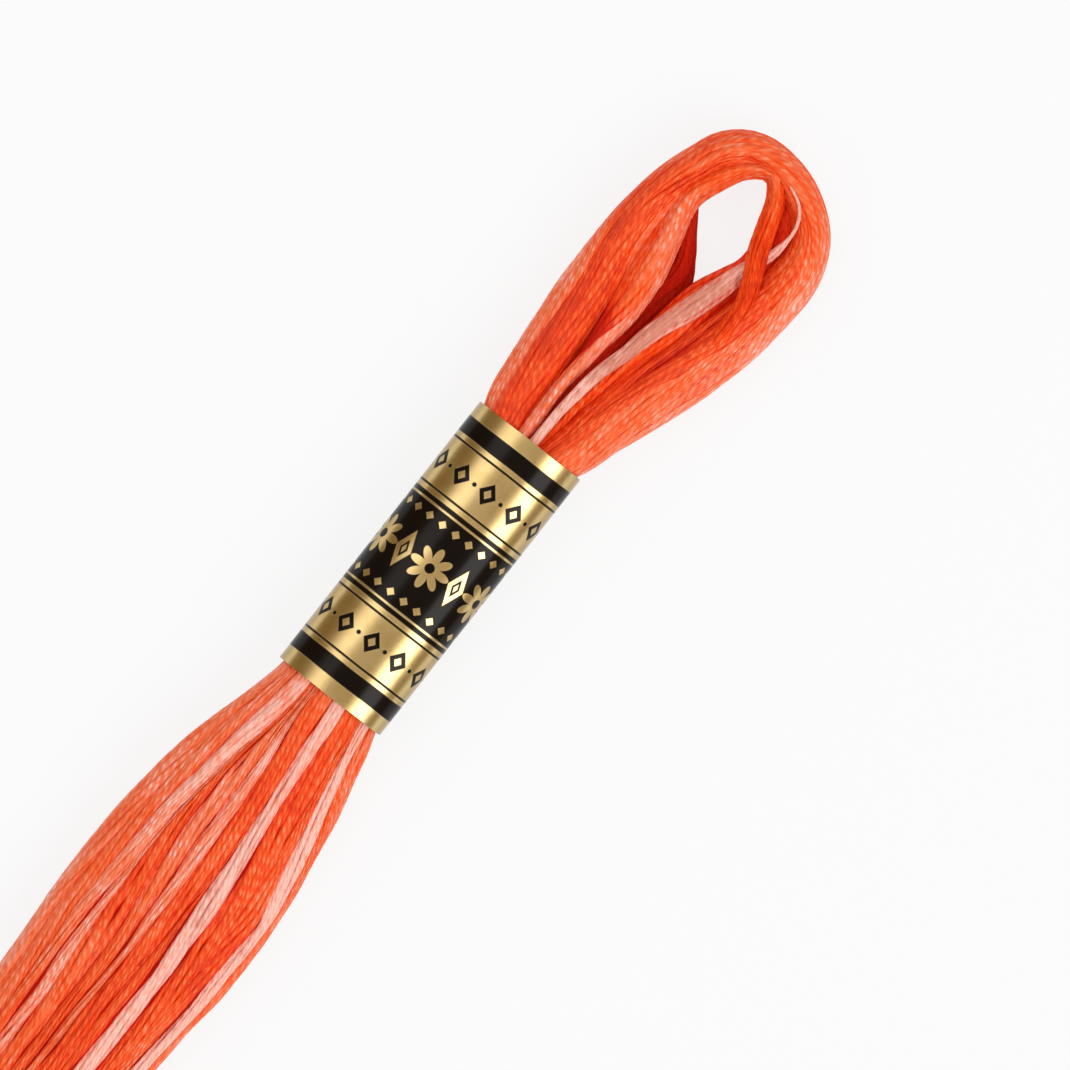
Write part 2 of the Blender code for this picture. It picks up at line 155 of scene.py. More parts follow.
# The lines of the groups of turns in the loop: x, y, half width, half depth, height of the middle.
MAIN_LOOP = (
    (-3.2, 8, 2.6, 3.7, 5.15),
    (-3.25, 15.4, 2.75, 3.95, 5.15),
    (-3.4, 17, 2.85, 4, 5.05),
    (-3.75, 18.4, 2.98, 4, 4.9),
    (-4.1, 22, 3.15, 3.9, 4.55),
    (-4.55, 28, 3.32, 3.75, 4.1),
    (-5.04, 34, 3.23, 3.75, 3.65),
    (-5.6, 39, 2.78, 3.8, 3.45),
    (-5.2, 44.5, 2.6, 3.85, 3.42),
    (-3.95, 48.9, 2.5, 3.9, 3.45),
    (-2.4, 52.3, 2.45, 3.95, 3.5),
    (-0.55, 53.9, 2.25, 3.95, 3.5),
    (2.1, 54.4, 2.1, 3.95, 3.5),
    (6.25, 53.4, 2.08, 3.9, 3.45),
    (9.45, 50.75, 2.3, 3.85, 3.42),
    (10.77, 46.3, 2.85, 3.8, 3.42),
    (10.15, 40.5, 3.18, 3.8, 3.5),
    (8.4, 34, 3.6, 3.75, 3.7),
    (6.4, 28, 3.7, 3.8, 4.1),
    (4.68, 22, 3.25, 3.9, 4.55),
    (3.85, 18.4, 2.92, 4, 4.9),
    (3.35, 17, 2.75, 4, 5.05),
    (3.1, 15.4, 2.6, 3.95, 5.15),
    (3.05, 8, 2.5, 3.7, 5.15),
)
INNER_LOOP = (
    (-1.05, 10, 0.85, 1.3, 7.1),
    (-1.05, 17, 0.9, 1.55, 7.2),
    (-1.2, 22, 0.85, 1.9, 6.6),
    (-0.95, 27, 1.1, 2.2, 6),
    (-0.95, 32, 1.75, 2.5, 5.4),
    (-1.3, 37, 2.1, 2.6, 4.95),
    (-2.1, 42, 1.75, 2.7, 4.6),
    (-2.75, 46, 1.5, 2.8, 4.45),
    (-1.55, 49.6, 1.4, 2.75, 4.5),
    (0.1, 52.1, 1.1, 2.5, 4.8),
    (2.5, 53.3, 0.95, 2.15, 5.3),
    (4.2, 51.8, 1.05, 1.9, 5.6),
    (5.22, 49.2, 1.24, 1.75, 5.8),
    (6.22, 46.2, 1.3, 1.6, 6),
    (7.6, 43.4, 1.22, 1.45, 6.3),
    (8.6, 40.2, 1.1, 1.4, 6.35),
    (8.65, 36, 1, 1.35, 6.05),
    (7.7, 31, 0.9, 1.2, 5.2),
)
PALE_TURN = (
    (0.3, 10, 0.5, 0.4, 8.2),
    (0.3, 17.4, 0.66, 0.48, 8.55),
    (0.35, 20, 0.7, 0.52, 8.35),
    (0.9, 25, 0.8, 0.56, 7.75),
    (2.15, 30, 0.92, 0.6, 7.15),
    (3.2, 34, 1.15, 0.64, 6.65),
    (4.65, 38, 1.35, 0.66, 6.15),
    (5.75, 41.5, 1.25, 0.64, 5.6),
    (6.6, 44.6, 0.9, 0.58, 5.1),
    (7.72, 47.3, 0.6, 0.45, 5.85),
    (7.95, 49.4, 0.38, 0.36, 6.4),
    (7.55, 51.3, 0.3, 0.3, 6.95),
    (6.5, 52.6, 0.25, 0.27, 7.15),
    (5.55, 53.15, 0.16, 0.2, 7.15),
    (4.6, 53.5, 0.1, 0.14, 6.95),
    (3.7, 53.8, 0.1, 0.12, 6.3),
)
BACK_LEFT = (
    (-4.2, 48.4, 0.9, 1.9, 2.6),
    (-2.35, 45.55, 1.3, 1.9, 2.45),
    (-0.95, 43.35, 1.4, 1.9, 2.3),
    (0.55, 41.05, 1.5, 1.9, 2.3),
    (1, 39.3, 2.2, 1.95, 2.5),
    (0.4, 35.5, 2.8, 2.1, 3.2),
    (0.1, 28.5, 2.3, 2.5, 4.15),
    (0, 22, 1.5, 2.7, 4.85),
    (-0.2, 10, 0.8, 2.6, 5.1),
)
BACK_RIGHT = (
    (1.4, 53.9, 0.7, 1.6, 2.6),
    (4.3, 53, 1, 1.8, 2.5),
    (6.35, 50.8, 1.45, 1.95, 3.05),
    (7.25, 47.6, 2, 2, 3.2),
    (7.15, 44.2, 2.22, 2.05, 3.1),
    (6.25, 41.6, 2.35, 2.2, 3.1),
    (5.15, 39.1, 2.35, 2.4, 3.5),
    (4.1, 34.5, 2.2, 2.5, 3.95),
    (2.5, 29, 1.5, 2.6, 4.4),
    (1.4, 23, 1.2, 2.7, 4.8),
    (0.6, 10, 0.7, 2.6, 5.1),
)

# Dye of the loop's threads, from the inner side over the front to the outer side, at even
# distances along the loop from the left leg to the right one. The back threads follow the front.
# Besides the threads' own dye the table holds painted light: its lighter stretches on the legs and the
# outer edge are partly painted sheen, and values below 0 are painted shade.
MAIN_LOOP_DYE = (
    (0.06, 0.02, 0.06, 0.3, 0.24, 0.1, 0.02, 0, 0.08, 0.25),
    (0, -0.1, -0.04, 0.33, 0.32, 0.12, -0.04, -0.1, 0.08, 0.38),
    (0, -0.1, -0.05, 0.06, 0.16, 0.12, -0.04, -0.1, 0.08, 0.45),
    (0.1, -0.09, -0.03, 0.08, 0.16, 0.2, 0.42, 0.34, 0.28, 0.5),
    (0.42, 0.4, 0.35, 0.15, 0.18, 0.3, 0.52, 0.52, 0.4, 0.5),
    (0.5, 0.5, 0.5, 0.35, 0.28, 0.42, 0.58, 0.56, 0.45, 0.5),
)
# The inner turns' dye, as the loop's: its values below 0, near the right leg, are painted shade.
INNER_LOOP_DYE = (
    (0.45, 0.55, 0.68, 0.6, 0.18, 0.08, -0.04, -0.06),
    (0.4, 0.42, 0.22, 0.62, 0.18, 0.06, -0.04, -0.06),
    (0.35, 0.3, 0.12, 0.26, 0.12, 0.04, -0.04, -0.06),
)
# How shaded the main loop's threads are, as their dye is listed.
MAIN_LOOP_SHADE = (
    (0, 0.4, 0.18, 0.1, 0, 0, 0, 0.05, 0, 0),
    (0.04, 0.12, 0.05, 0, 0, 0, 0.06, 0.1, 0, 0),
    (0.04, 0.12, 0.05, 0, 0, 0, 0.05, 0.08, 0, 0),
    (0.04, 0.1, 0.05, 0.02, 0, 0, 0, 0, 0, 0),
    (0, 0.08, 0.05, 0.05, 0, 0, 0, 0, 0, 0),
    (0, 0.02, 0.04, 0.1, 0, 0, 0, 0, 0, 0),
)
# Along the inner group from the band: distance, how far its creases are turned towards its left,
# and how shaded its middle and left threads are, which dive under the right one.
INNER_LOOP_VALLEY = (
    (0, 0.55, 0, 0),
    (10, 0.6, 0, 0),
    (14, 0.6, 0.05, 0.3),
    (16, 0.55, 0.3, 0.9),
    (18.5, 0.45, 0.75, 0.95),
    (20, 0.36, 0.6, 0.85),
    (21.5, 0.24, 0.36, 0.55),
    (23.5, 0.1, 0.14, 0.15),
    (27, 0, 0.07, 0.06),
    (31, 0, 0.03, 0.03),
    (36, 0, 0, 0),
    (75, 0, 0, 0),
)
PALE_TURN_DYE = ((1, 1.05, 1.22, 1.3, 1.05, 0.84),)
BACK_DYE = ((0.05, 0.1, 0.05, 0.08), (0.1, 0.05, 0.08, 0.05))
# How shaded the pale turn is, and those behind, at even distances from the loop's top to the band.
PALE_TURN_SHADE = (-0.12, -0.12)
BACK_LEFT_SHADE = (0.95, 0.95, 0.95, 0.9, 0.7, 0.5)
BACK_RIGHT_SHADE = (0.45, 0.4, 0.36, 0.25, 0.1, 0.05, 0.05)

RING_STEP = 0.8
TURN_HALF_DEPTH = 3.4  # of a thread at the lower end, where its length is measured
STEEPEST_SHARE = 3.0  # of a table's curve, against the lines between its keys
SINES = 4  # in a random wave

# How the strands lie in a thread, in millimetres unless it says otherwise.
STRANDS = 9  # between two creases, which part a thread of six and half its neighbour
SIDES = 6  # of a strand's section
STRAND_SPREAD = 1.3  # width over depth of a strand, pressed between its neighbours
THINNEST = 0.07
ROOM_TO_RADIUS = 4.2  # half a thread's width over its strands' radius
ROLL = 48.0  # along the skein, in which a strand comes back to its place
EVEN_PACE = 0.96  # of a strand across its thread: a sine is 0, a zigzag 1
TURN_OVER = 0.15  # how slowly a strand dives at its thread's edge
FULL_LIFT = 1.07  # of the curve that takes a strand over and under
UNDER_SHIFT = 0.16  # of those beneath, into the gaps of those on top
FALL, MOST_FALL = 1.7, 0.4  # of a thread at its crease: a share of the crease's width, and the most
MOST_CREASE = 0.3  # share of a thread's width
NARROW_CREASE, WIDE_CREASE = 0.03, 0.14
NARROW_ROOM = 0.55  # half the width under which a thread sinks
LEAST_COVER = 0.03
LEAST_ROOM = 0.02
LEAST = 1e-6  # what something is divided by
# Size, longest and shortest length of the waves in a strand's pace, place and height.
PACE_WAVES, PLACE_WAVES, HEIGHT_WAVES = (0.035, 90, 30), (0.05, 25, 7), (0.03, 20, 6)
CORE_INSET = 0.70  # the core under the skin
CORE_SIDES, CORE_ROWS, CORE_STEP = 32, 60, 1.5
CORE_FLOOR, CORE_LEAST = 0.35, 0.12

DYE_BOTTOM, DYE_TOP = -0.2, 1.3  # the darkest, which is painted shade, and the dustiest dye
# Strength of the painted glow deep in the floss's creases.
CREASE_GLOW = 0.19
FLANK_SHADE = 0.8  # how much deeper a strand's flank counts than its top, in radii
# Each of the floss's materials: its gloss, how much of its colour is left at the bottom of its
# painted shade and the height of its plies. The inside and behind looks are shaded copies for turns
# deep in the loop, with less gloss, and behind also darker at the bottom.
FLOSS_LOOKS = {
    "coral_floss_strands": (0.6, 0.7, 0.06),
    "coral_floss_loop": (0.6, 0.7, 0.035),
    "coral_floss_inside": (0.25, 0.95, 0.05),
    "coral_floss_behind": (0.08, 0.55, 0.05),
}

# The band: its lap at the back, and the ridges that the turns press into its front, each with its
# x, half width and rise.
LAP_FROM, LAP_TO, LAP_SLOPE, LAP_LIFT = -2.6, 2.2, 0.5, 1.15
BAND_RIDGES = ((-2.2, 1.5, 0.05), (3.4, 1.3, 0.01), (0.6, 1.2, -0.04))
BAND_ROWS, BAND_COLUMNS = 56, 190

# The band's print, the same both ways from its middle: lines from and to, the belt's edge and the
# line in it, and the steps round the band and places along it of what is repeated.
PRINT_LINES = ((13.0, 14.9), (12.2, 12.45), (6.65, 6.9))
BELT_EDGE, BELT_LINE = 6.1, (5.35, 5.58)
ROSETTE_STEP, ROSETTE_RADIUS, PETAL_LENGTH = 6.8, 1.0, 1.35
DOT_STEP, DOT_PLACE = 1.7, 4.3
LOZENGE_STEP, LOZENGE_PLACE = 3.4, 9.55
PRINT_EDGE = 0.05

# The middle of the picture, and each light's name, size in metres and place from there.
PICTURE_MIDDLE = (6.22, 9.32, 5.0)
STUDIO_LIGHTS = (("left_light", 0.57, (-0.30, 0.15, 0.935)), ("right_light", 0.58, (0.645, -0.05, 0.765)))
FLOOR_HALF_SIDE = 4.0
SENSOR_WIDTH = 36.0


# Shapes


def eased(keys, values, at):
    """The table's columns at the places asked for: a cubic between keys, whose slope at a key is
    that of the line from the key before to the key after, held back where it would overshoot."""
    keys, values = np.asarray(keys, float), np.asarray(values, float)
    at = np.clip(at, keys[0], keys[-1])
    gaps = np.diff(keys)
    secant = np.diff(values, axis=0) / gaps[:, None]
    slope = np.gradient(values, keys, axis=0)
    before, after = secant[:-1], secant[1:]
    most = STEEPEST_SHARE * np.minimum(abs(before), abs(after)) * (before * after > 0)
    slope[1:-1] = np.clip(slope[1:-1], -most, most)
    i = np.clip(np.searchsorted(keys, at, side="right") - 1, 0, len(gaps) - 1)
    gap = gaps[i][:, None]
    t = (at - keys[i])[:, None] / gap
    return (
        (2 * t**3 - 3 * t**2 + 1) * values[i]
        + (t**3 - 2 * t**2 + t) * gap * slope[i]
        + (3 * t**2 - 2 * t**3) * values[i + 1]
        + (t**3 - t**2) * gap * slope[i + 1]
    )


def down_the_skein(rows, y):
    """The other columns of a table, whose first one is y going down, at these y."""
    rows = np.array(rows, float)
    return eased(-rows[:, 0], rows[:, 1:], -y).T


def run_of(*coordinates):
    """Distance along a line of points from its start."""
    return np.concatenate([[0], np.cumsum(np.hypot(*(np.diff(c) for c in coordinates)))])


def evenly(rows, step):
    """A line's table at even steps along it, measured in its first two columns."""
    table = np.array(rows, float)
    keys = run_of(*table[:, :2].T)
    fine = eased(keys, table, np.linspace(0, keys[-1], 40 * len(rows)))
    along = run_of(*fine[:, :2].T)
    places = np.linspace(0, along[-1], round(along[-1] / step) + 1)
    return np.stack([np.interp(places, along, column) for column in fine.T], axis=1)


def unit(vectors):
    return vectors / np.maximum(np.linalg.norm(vectors, axis=-1, keepdims=True), 1e-12)


def section(angle, half_width, half_depth, power):
    """The point of a rounded section at a true angle from its right edge: along that direction, at
    the distance where the powers of the two shares sum to one."""
    c, s = np.cos(angle), np.sin(angle)
    reach = (abs(c / half_width) ** power + abs(s / half_depth) ** power) ** (-1 / power)
    return reach * c, reach * s


def share_angle(share, half_width, half_depth, power):
    """The true angle of the front point of a section whose x is this share of its half width."""
    share = np.clip(share, -1, 1)
    return np.arctan2(half_depth * (1 - abs(share) ** power) ** (1 / power), half_width * share)


def waves(rng, count, along, size, longest, shortest):
    """Smooth random curves, one a row, of about this size: sums of sines of mixed lengths."""
    lengths = rng.uniform(shortest, longest, (count, SINES, 1))
    phases = rng.uniform(0, math.tau, (count, SINES, 1))
    sines = np.sin(math.tau * along / lengths + phases)
    return size * (sines.sum(axis=1) / math.sqrt(SINES / 2))


class BodySurface:
    """The skin that the lower body's threads lie in. Each path runs down the front, round the
    turned end in a half ellipse and up the back; the section is a rounded one with powers."""

    facing = -1.0

    def __init__(self, step):
        top, bottom, last_depth = BODY_ROWS[0][0], BODY_ROWS[-1][0], BODY_ROWS[-1][3]
        straight = np.arange(top, bottom, -step)
        quarter = math.pi / 2 * math.hypot(TURN_LENGTH, last_depth) / math.sqrt(2)
        turn = np.linspace(0, math.pi, round(2 * quarter / step) + 1)
        self.y = np.concatenate([straight, np.full(len(turn), bottom), straight[::-1]])
        self.turn = np.concatenate([0 * straight, turn, 0 * straight + math.pi])
        left, right, self.half_depth, self.height = down_the_skein(BODY_ROWS, self.y)
        self.middle, self.half_width = (left + right) / 2, (right - left) / 2
        self.shown_width = self.half_width * (1 - TURN_NARROWING * np.sin(self.turn) ** 2)
        self.along = run_of(self.y_at(0.0), np.cos(self.turn) * TURN_HALF_DEPTH)

    def y_at(self, step_back):
        return self.y - (TURN_LENGTH - step_back) * np.sin(self.turn)

    def points(self, angle, step_back=0.0):
        x, z = section(angle, self.shown_width, self.half_depth, FLAT_POWER)
        y = np.broadcast_to(self.y_at(step_back), x.shape)
        return np.stack([self.middle + x, y, self.height + np.cos(self.turn) * z], axis=-1)


class LoopSurface:
    """The skin of a group of turns: a section, square to the group's line, carried along it."""

    facing = 1.0

    def __init__(self, rows, step):
        table = evenly(rows, step)
        self.line = table[:, :2]
        self.way = unit(np.gradient(self.line, axis=0))
        self.half_width, self.half_depth, self.height = table[:, 2:].T
        self.along = np.arange(len(table)) * step

    def points(self, angle, step_back=0.0):
        across, up = section(angle, self.half_width, self.half_depth, ROUND_POWER)
        x = self.line[:, 0] + self.way[:, 1] * across
        y = self.line[:, 1] - self.way[:, 0] * across
        return np.stack([x, y, self.height + up], axis=-1)


def threads_on(surface, edges, gaps, rng, crown, thickest, wander, steps_back, sink):
    """The strands of each thread between two neighbouring edges (angles, a row an edge), which
    stop half a crease short of each and fall away towards it by the cube of the share across.

    A strand goes slowly across the thread's crown at a nearly even pace, an arcsine of a sine, and
    back beneath it, two crowns lower, so that half of them lie on top at any place. Its radius
    follows the room that it has. Returns the strands' centre lines, outward directions, radii and
    depths under the skin.
    """
    count, rings = len(edges) - 1, edges.shape[1]
    every = (count, STRANDS, rings)

    def strand_waves(*sizes):
        return waves(rng, count * STRANDS, surface.along, *sizes).reshape(every)

    back = np.broadcast_to(steps_back, count)[:, None]
    low, high = surface.points(edges[:-1], back), surface.points(edges[1:], back)
    room = np.linalg.norm(high - low, axis=-1) / 2
    before, after = (
        np.minimum(width / np.maximum(4 * room, LEAST), MOST_CREASE) for width in (gaps[:-1], gaps[1:])
    )
    span = edges[1:] - edges[:-1]
    first, last = edges[:-1] + before * span, edges[1:] - after * span
    room = room * (1 - before - after)
    radius = np.clip(room / ROOM_TO_RADIUS + LEAST_ROOM, THINNEST, thickest)
    inner = np.maximum(room - 0.5 * radius, LEAST_ROOM)

    start = rng.uniform(0, 1, (count, 1, 1)) + np.arange(STRANDS)[:, None] / STRANDS
    slow = strand_waves(*PACE_WAVES)
    turns = rng.choice([-1, 1], (count, 1, 1)) * surface.along / ROLL
    round_it = math.tau * (start + turns + slow)
    share = np.arcsin(EVEN_PACE * np.sin(round_it)) / math.asin(EVEN_PACE)
    lift = FULL_LIFT * np.cos(round_it) / np.sqrt(np.cos(round_it) ** 2 + TURN_OVER)
    share = share + UNDER_SHIFT * (1 - lift) * (1 - abs(share))

    middle, half = (first + last) / 2, (last - first) / 2
    fall = np.where(share < 0, gaps[:-1, None], gaps[1:, None])
    fall = np.minimum(FALL * fall, MOST_FALL) * abs(share) ** 3
    reach = (inner / np.maximum(room, LEAST))[:, None]
    drift = strand_waves(*PLACE_WAVES) / np.maximum(room, 0.3)[:, None]
    angle = middle[:, None] + half[:, None] * (share * reach + drift)
    crown = np.minimum(crown, 0.9 * inner)[:, None]
    sunk = np.maximum(NARROW_ROOM - room, 0)[:, None] * 0.5
    swell = waves(rng, count, surface.along, wander, 60, 18)[:, None]
    small = strand_waves(*HEIGHT_WAVES)
    thick = np.repeat(radius[:, None], STRANDS, axis=1)
    low_by = np.maximum(swell + 0.5 * wander, 0) + LEAST_COVER
    low_by = low_by + np.broadcast_to(sink, (count, rings))[:, None]
    depth = thick + crown * (1 - lift) + sunk + fall + small + low_by
    # No strand goes under the core, or past the line of a thin group.
    deepest = np.clip(0.9 * surface.half_width - 0.1, LEAST_ROOM, CORE_INSET)
    depth = np.minimum(depth, deepest + 0.25 * thick)

    angle, depth, thick = (a.reshape(count * STRANDS, rings) for a in (angle, depth, thick))
    back = np.repeat(back, STRANDS, axis=0)
    skin = surface.points(angle, back)
    across = surface.points(angle + 1e-3, back) - surface.points(angle - 1e-3, back)
    out = unit(np.cross(np.gradient(skin, axis=1), across)) * surface.facing
    path = skin - out * depth[..., None]
    path[..., 2] = np.maximum(path[..., 2], thick * STRAND_SPREAD)
    return path, out, thick, depth


def table_along(table, count, along):
    """Each thread's value along its length from a table of rows, one a thread and one way round,
    at even distances; the threads past the table's end go back through it."""
    table = np.array(table, float)
    order = np.arange(count)
    order = np.where(order < len(table), order, 2 * len(table) - 1 - order) % len(table)
    places = along / along[-1] * (table.shape[1] - 1)
    return eased(np.arange(table.shape[1]), table[order].T, places).T


def dye_along(table, count, along, rng):
    """Each thread's dye along its length, which wanders a little from the table."""
    return table_along(table, count, along) + waves(rng, count, along, 0.05, 70, 20)


def strand_points(path, out, radius):
    """Tubes round the centre lines: a six-sided ring, wider than deep, square to the line at each
    of its points."""
    forward = unit(np.gradient(path, axis=1))
    up = unit(out - (out * forward).sum(-1, keepdims=True) * forward)
    side = np.cross(forward, up)
    angle = math.tau * np.arange(SIDES) / SIDES
    reach = radius[..., None]
    return (
        path[:, :, None]
        + (STRAND_SPREAD * reach * np.cos(angle))[..., None] * side[:, :, None]
        + (reach * np.sin(angle))[..., None] * up[:, :, None]
    )


def strands_object(name, path, out, radius, dye, depth, pitch, rng, material):
    """One mesh of closed strands, with the pattern's map, which runs once round a strand and along
    it in millimetres, and the map for baking, in which each strand has a strip of its own."""
    strands, rings, _ = path.shape
    spin = rng.uniform(0, math.tau, strands)
    points = strand_points(path, out, radius)
    gaps = np.linalg.norm(np.diff(path, axis=1), axis=-1)
    along = np.concatenate([np.zeros((strands, 1)), np.cumsum(gaps, axis=1)], axis=1)
    base = (np.arange(strands) * rings * SIDES)[:, None, None]
    ring = (np.arange(rings - 1) * SIDES)[:, None]
    k = np.arange(SIDES)
    after = (k + 1) % SIDES
    quads = [base + ring + step for step in (k, SIDES + k, SIDES + after, after)]
    quads = np.stack(quads, axis=-1).reshape(-1, 4)
    caps = np.concatenate([base[:, 0] + k, base[:, 0] + (rings - 1) * SIDES + k[::-1]])
    corners = np.concatenate([quads.ravel(), caps.ravel()])
    starts = [np.arange(len(quads)) * 4, len(quads) * 4 + np.arange(len(caps)) * SIDES]

    side = quads % SIDES
    side[:, 2:] = side[:, :2] + 1
    u = np.concatenate([side.ravel(), caps.ravel() % SIDES]) / SIDES
    v = np.repeat(along.ravel(), SIDES)[corners]
    number = corners // (rings * SIDES)
    # The map that the twist reads has each strand's own start built into its length.
    stretch = rng.uniform(0.85, 1.15, strands)
    pattern = np.stack([u, v * stretch[number] + (spin * pitch / math.tau)[number]], axis=-1)
    strip = np.stack([v / along.max(), (number + 0.08 + 0.84 * u) / strands], axis=-1)

    mesh = bpy.data.meshes.new(name)
    mesh.vertices.add(points.size // 3)
    mesh.vertices.foreach_set("co", (points.reshape(-1, 3) * MM + TABLE_ZERO).ravel())
    mesh.loops.add(len(corners))
    mesh.loops.foreach_set("vertex_index", corners)
    mesh.polygons.add(len(quads) + len(caps))
    mesh.polygons.foreach_set("loop_start", np.concatenate(starts))
    mesh.update(calc_edges=True)
    add_map(mesh, "strand", pattern)
    add_map(mesh, "OFBake", strip)
    add_values(mesh, "dye", np.repeat(dye.ravel(), SIDES))
    # Each point's own depth under the skin, which sets its painted shade: a strand's flanks lie a radius
    # deeper than its top, so they are painted darker and redder.
    flank = 1 - np.sin(math.tau * np.arange(SIDES) / SIDES)
    add_values(mesh, "depth", (depth[..., None] + FLANK_SHADE * radius[..., None] * flank).ravel())
    add_values(mesh, "tone", np.repeat(rng.uniform(-1, 1, strands), rings * SIDES))
    return finished(name, mesh, material)


def add_map(mesh, name, places):
    layer = mesh.uv_layers.new(name=name, do_init=False)
    layer.uv.foreach_set("vector", places.astype(np.float32).ravel())


def add_values(mesh, name, values):
    attribute = mesh.attributes.new(name, "FLOAT", "POINT")
    attribute.data.foreach_set("value", values.astype(np.float32))


def finished(name, mesh, *materials):
    """An object at the origin with this mesh, checked and shaded smooth."""
    for material in materials:
        mesh.materials.append(material)
    mesh.validate()
    mesh.polygons.foreach_set("use_smooth", np.full(len(mesh.polygons), True))
    obj = bpy.data.objects.new(name, mesh)
    bpy.context.scene.collection.objects.link(obj)
    return obj


def tubes_mesh(name, grids):
    """A mesh of grids of points (rows along, columns round), each wrapped round its columns, with
    flat ends."""
    quads, caps, offset = [], [], 0
    for grid in grids:
        rows, columns = grid.shape[:2]
        i, j = np.arange(rows - 1)[:, None] * columns, np.arange(columns)
        after = (j + 1) % columns
        corner = [i + j, i + columns + j, i + columns + after, i + after]
        quads.append(np.stack(corner, -1).reshape(-1, 4) + offset)
        caps += [offset + j, offset + (rows - 1) * columns + j[::-1]]
        offset += rows * columns
    points = np.concatenate([grid.reshape(-1, 3) for grid in grids]) * MM + TABLE_ZERO
    mesh = bpy.data.meshes.new(name)
    faces = np.concatenate(quads).tolist() + [cap.tolist() for cap in caps]
    mesh.from_pydata(points, [], faces)
    return mesh


# Materials


class Value:
    """A node's output that can be reckoned with: each sign adds a Math node to its tree."""

    def __init__(self, tree, socket):
        self.tree, self.socket = tree, socket

    def __add__(self, other):
        return self.tree.math("ADD", self, other)

    def __sub__(self, other):
        return self.tree.math("SUBTRACT", self, other)

    def __rsub__(self, other):
        return self.tree.math("SUBTRACT", other, self)

    def __mul__(self, other):
        return self.tree.math("MULTIPLY", self, other)

    def __truediv__(self, other):
        return self.tree.math("DIVIDE", self, other)

    def __abs__(self):
        return self.tree.math("ABSOLUTE", self)

    __rmul__ = __mul__


class Tree:
    """Adds nodes to a node tree in few words. An input is a number, a colour or a Value."""

    def __init__(self, tree):
        self.tree = tree

    def fill(self, sockets, values):
        for place, value in dict(values).items():
            if isinstance(value, Value):
                self.tree.links.new(value.socket, sockets[place])
            else:
                sockets[place].default_value = value

    def node(self, kind, values=(), **settings):
        node = self.tree.nodes.new(kind)
        for name, value in settings.items():
            setattr(node, name, value)
        self.fill(node.inputs, values)
        return node

    def value(self, kind, values=(), output=0, **settings):
        return Value(self, self.node(kind, values, **settings).outputs[output])

    def math(self, operation, *values):
        return self.value("ShaderNodeMath", enumerate(values), operation=operation)

    def smooth(self, value, start, end, low=0.0, high=1.0):
        """Low before start, high after end, eased between."""
        places = enumerate((value, start, end, low, high))
        return self.value("ShaderNodeMapRange", places, interpolation_type="SMOOTHSTEP")

    def noise(self, where, scale, detail):
        return self.value("ShaderNodeTexNoise", {"Vector": where, "Scale": scale, "Detail": detail})

    def mix(self, share, a, b):
        return self.value("ShaderNodeMix", {0: share, 6: a, 7: b}, 2, data_type="RGBA")

    def bump(self, height, distance):
        return self.value("ShaderNodeBump", {"Height": height, "Distance": distance * MM})

    def place(self):
        return self.value("ShaderNodeTexCoord", output="Object")

    def mapped(self, name):
        """The two directions of a map."""
        uv = self.value("ShaderNodeUVMap", uv_map=name)
        return [Value(self, output) for output in self.node("ShaderNodeSeparateXYZ", {0: uv}).outputs[:2]]

    def attribute(self, name):
        return self.value("ShaderNodeAttribute", output="Fac", attribute_name=name)

    def ramp(self, value, stops):
        node = self.node("ShaderNodeValToRGB", {0: value})
        elements = node.color_ramp.elements
        while len(elements) < len(stops):
            elements.new(0.5)
        for element, (place, colour) in zip(elements, stops.items()):
            element.position, element.color = place, opaque(colour)
        return Value(self, node.outputs[0])


def opaque(colour):
    return (*colour, 1.0)


def new_material(name, look, *settings):
    """A material, whose look says for its tree what goes into its shader."""
    material = bpy.data.materials.new(name)
    material.use_nodes = True
    tree = Tree(material.node_tree)
    tree.fill(material.node_tree.nodes["Principled BSDF"].inputs, look(tree, *settings))
    return material


def twist_group():
    """Two plies twisted into a strand: the height is the size of the cosine of the place round the
    strand less the turns made along it, and fine fibres run beside the plies."""
    group = bpy.data.node_groups.new("ply_twist", "ShaderNodeTree")
    outputs = dict.fromkeys(("Height", "Groove", "Fibre", "Outside"), 0.0)
    for way, labels in {"INPUT": {"Pitch": 3.3, "Fibres": 0.3}, "OUTPUT": outputs}.items():
        for label, value in labels.items():
            socket = group.interface.new_socket(label, in_out=way, socket_type="NodeSocketFloat")
            socket.default_value = value
    tree = Tree(group)
    pitch, fibres = (Value(tree, output) for output in tree.node("NodeGroupInput").outputs[:2])
    round_it, along = tree.mapped("strand")
    turned = round_it - along / pitch
    ply = abs(tree.math("COSINE", turned * math.tau))
    beside = tree.value("ShaderNodeCombineXYZ", {0: turned * 14.0, 1: along * 0.9})
    fibre = tree.noise(beside, 1.6, 2.0)
    outward = tree.math("SINE", round_it * math.tau)
    made = {
        "Height": ply + fibre * fibres,
        "Groove": 1.0 - ply,
        "Fibre": fibre,
        "Outside": tree.smooth(outward, 0.55, 1.0),
    }
    tree.fill(tree.node("NodeGroupOutput").inputs, made)
    return group


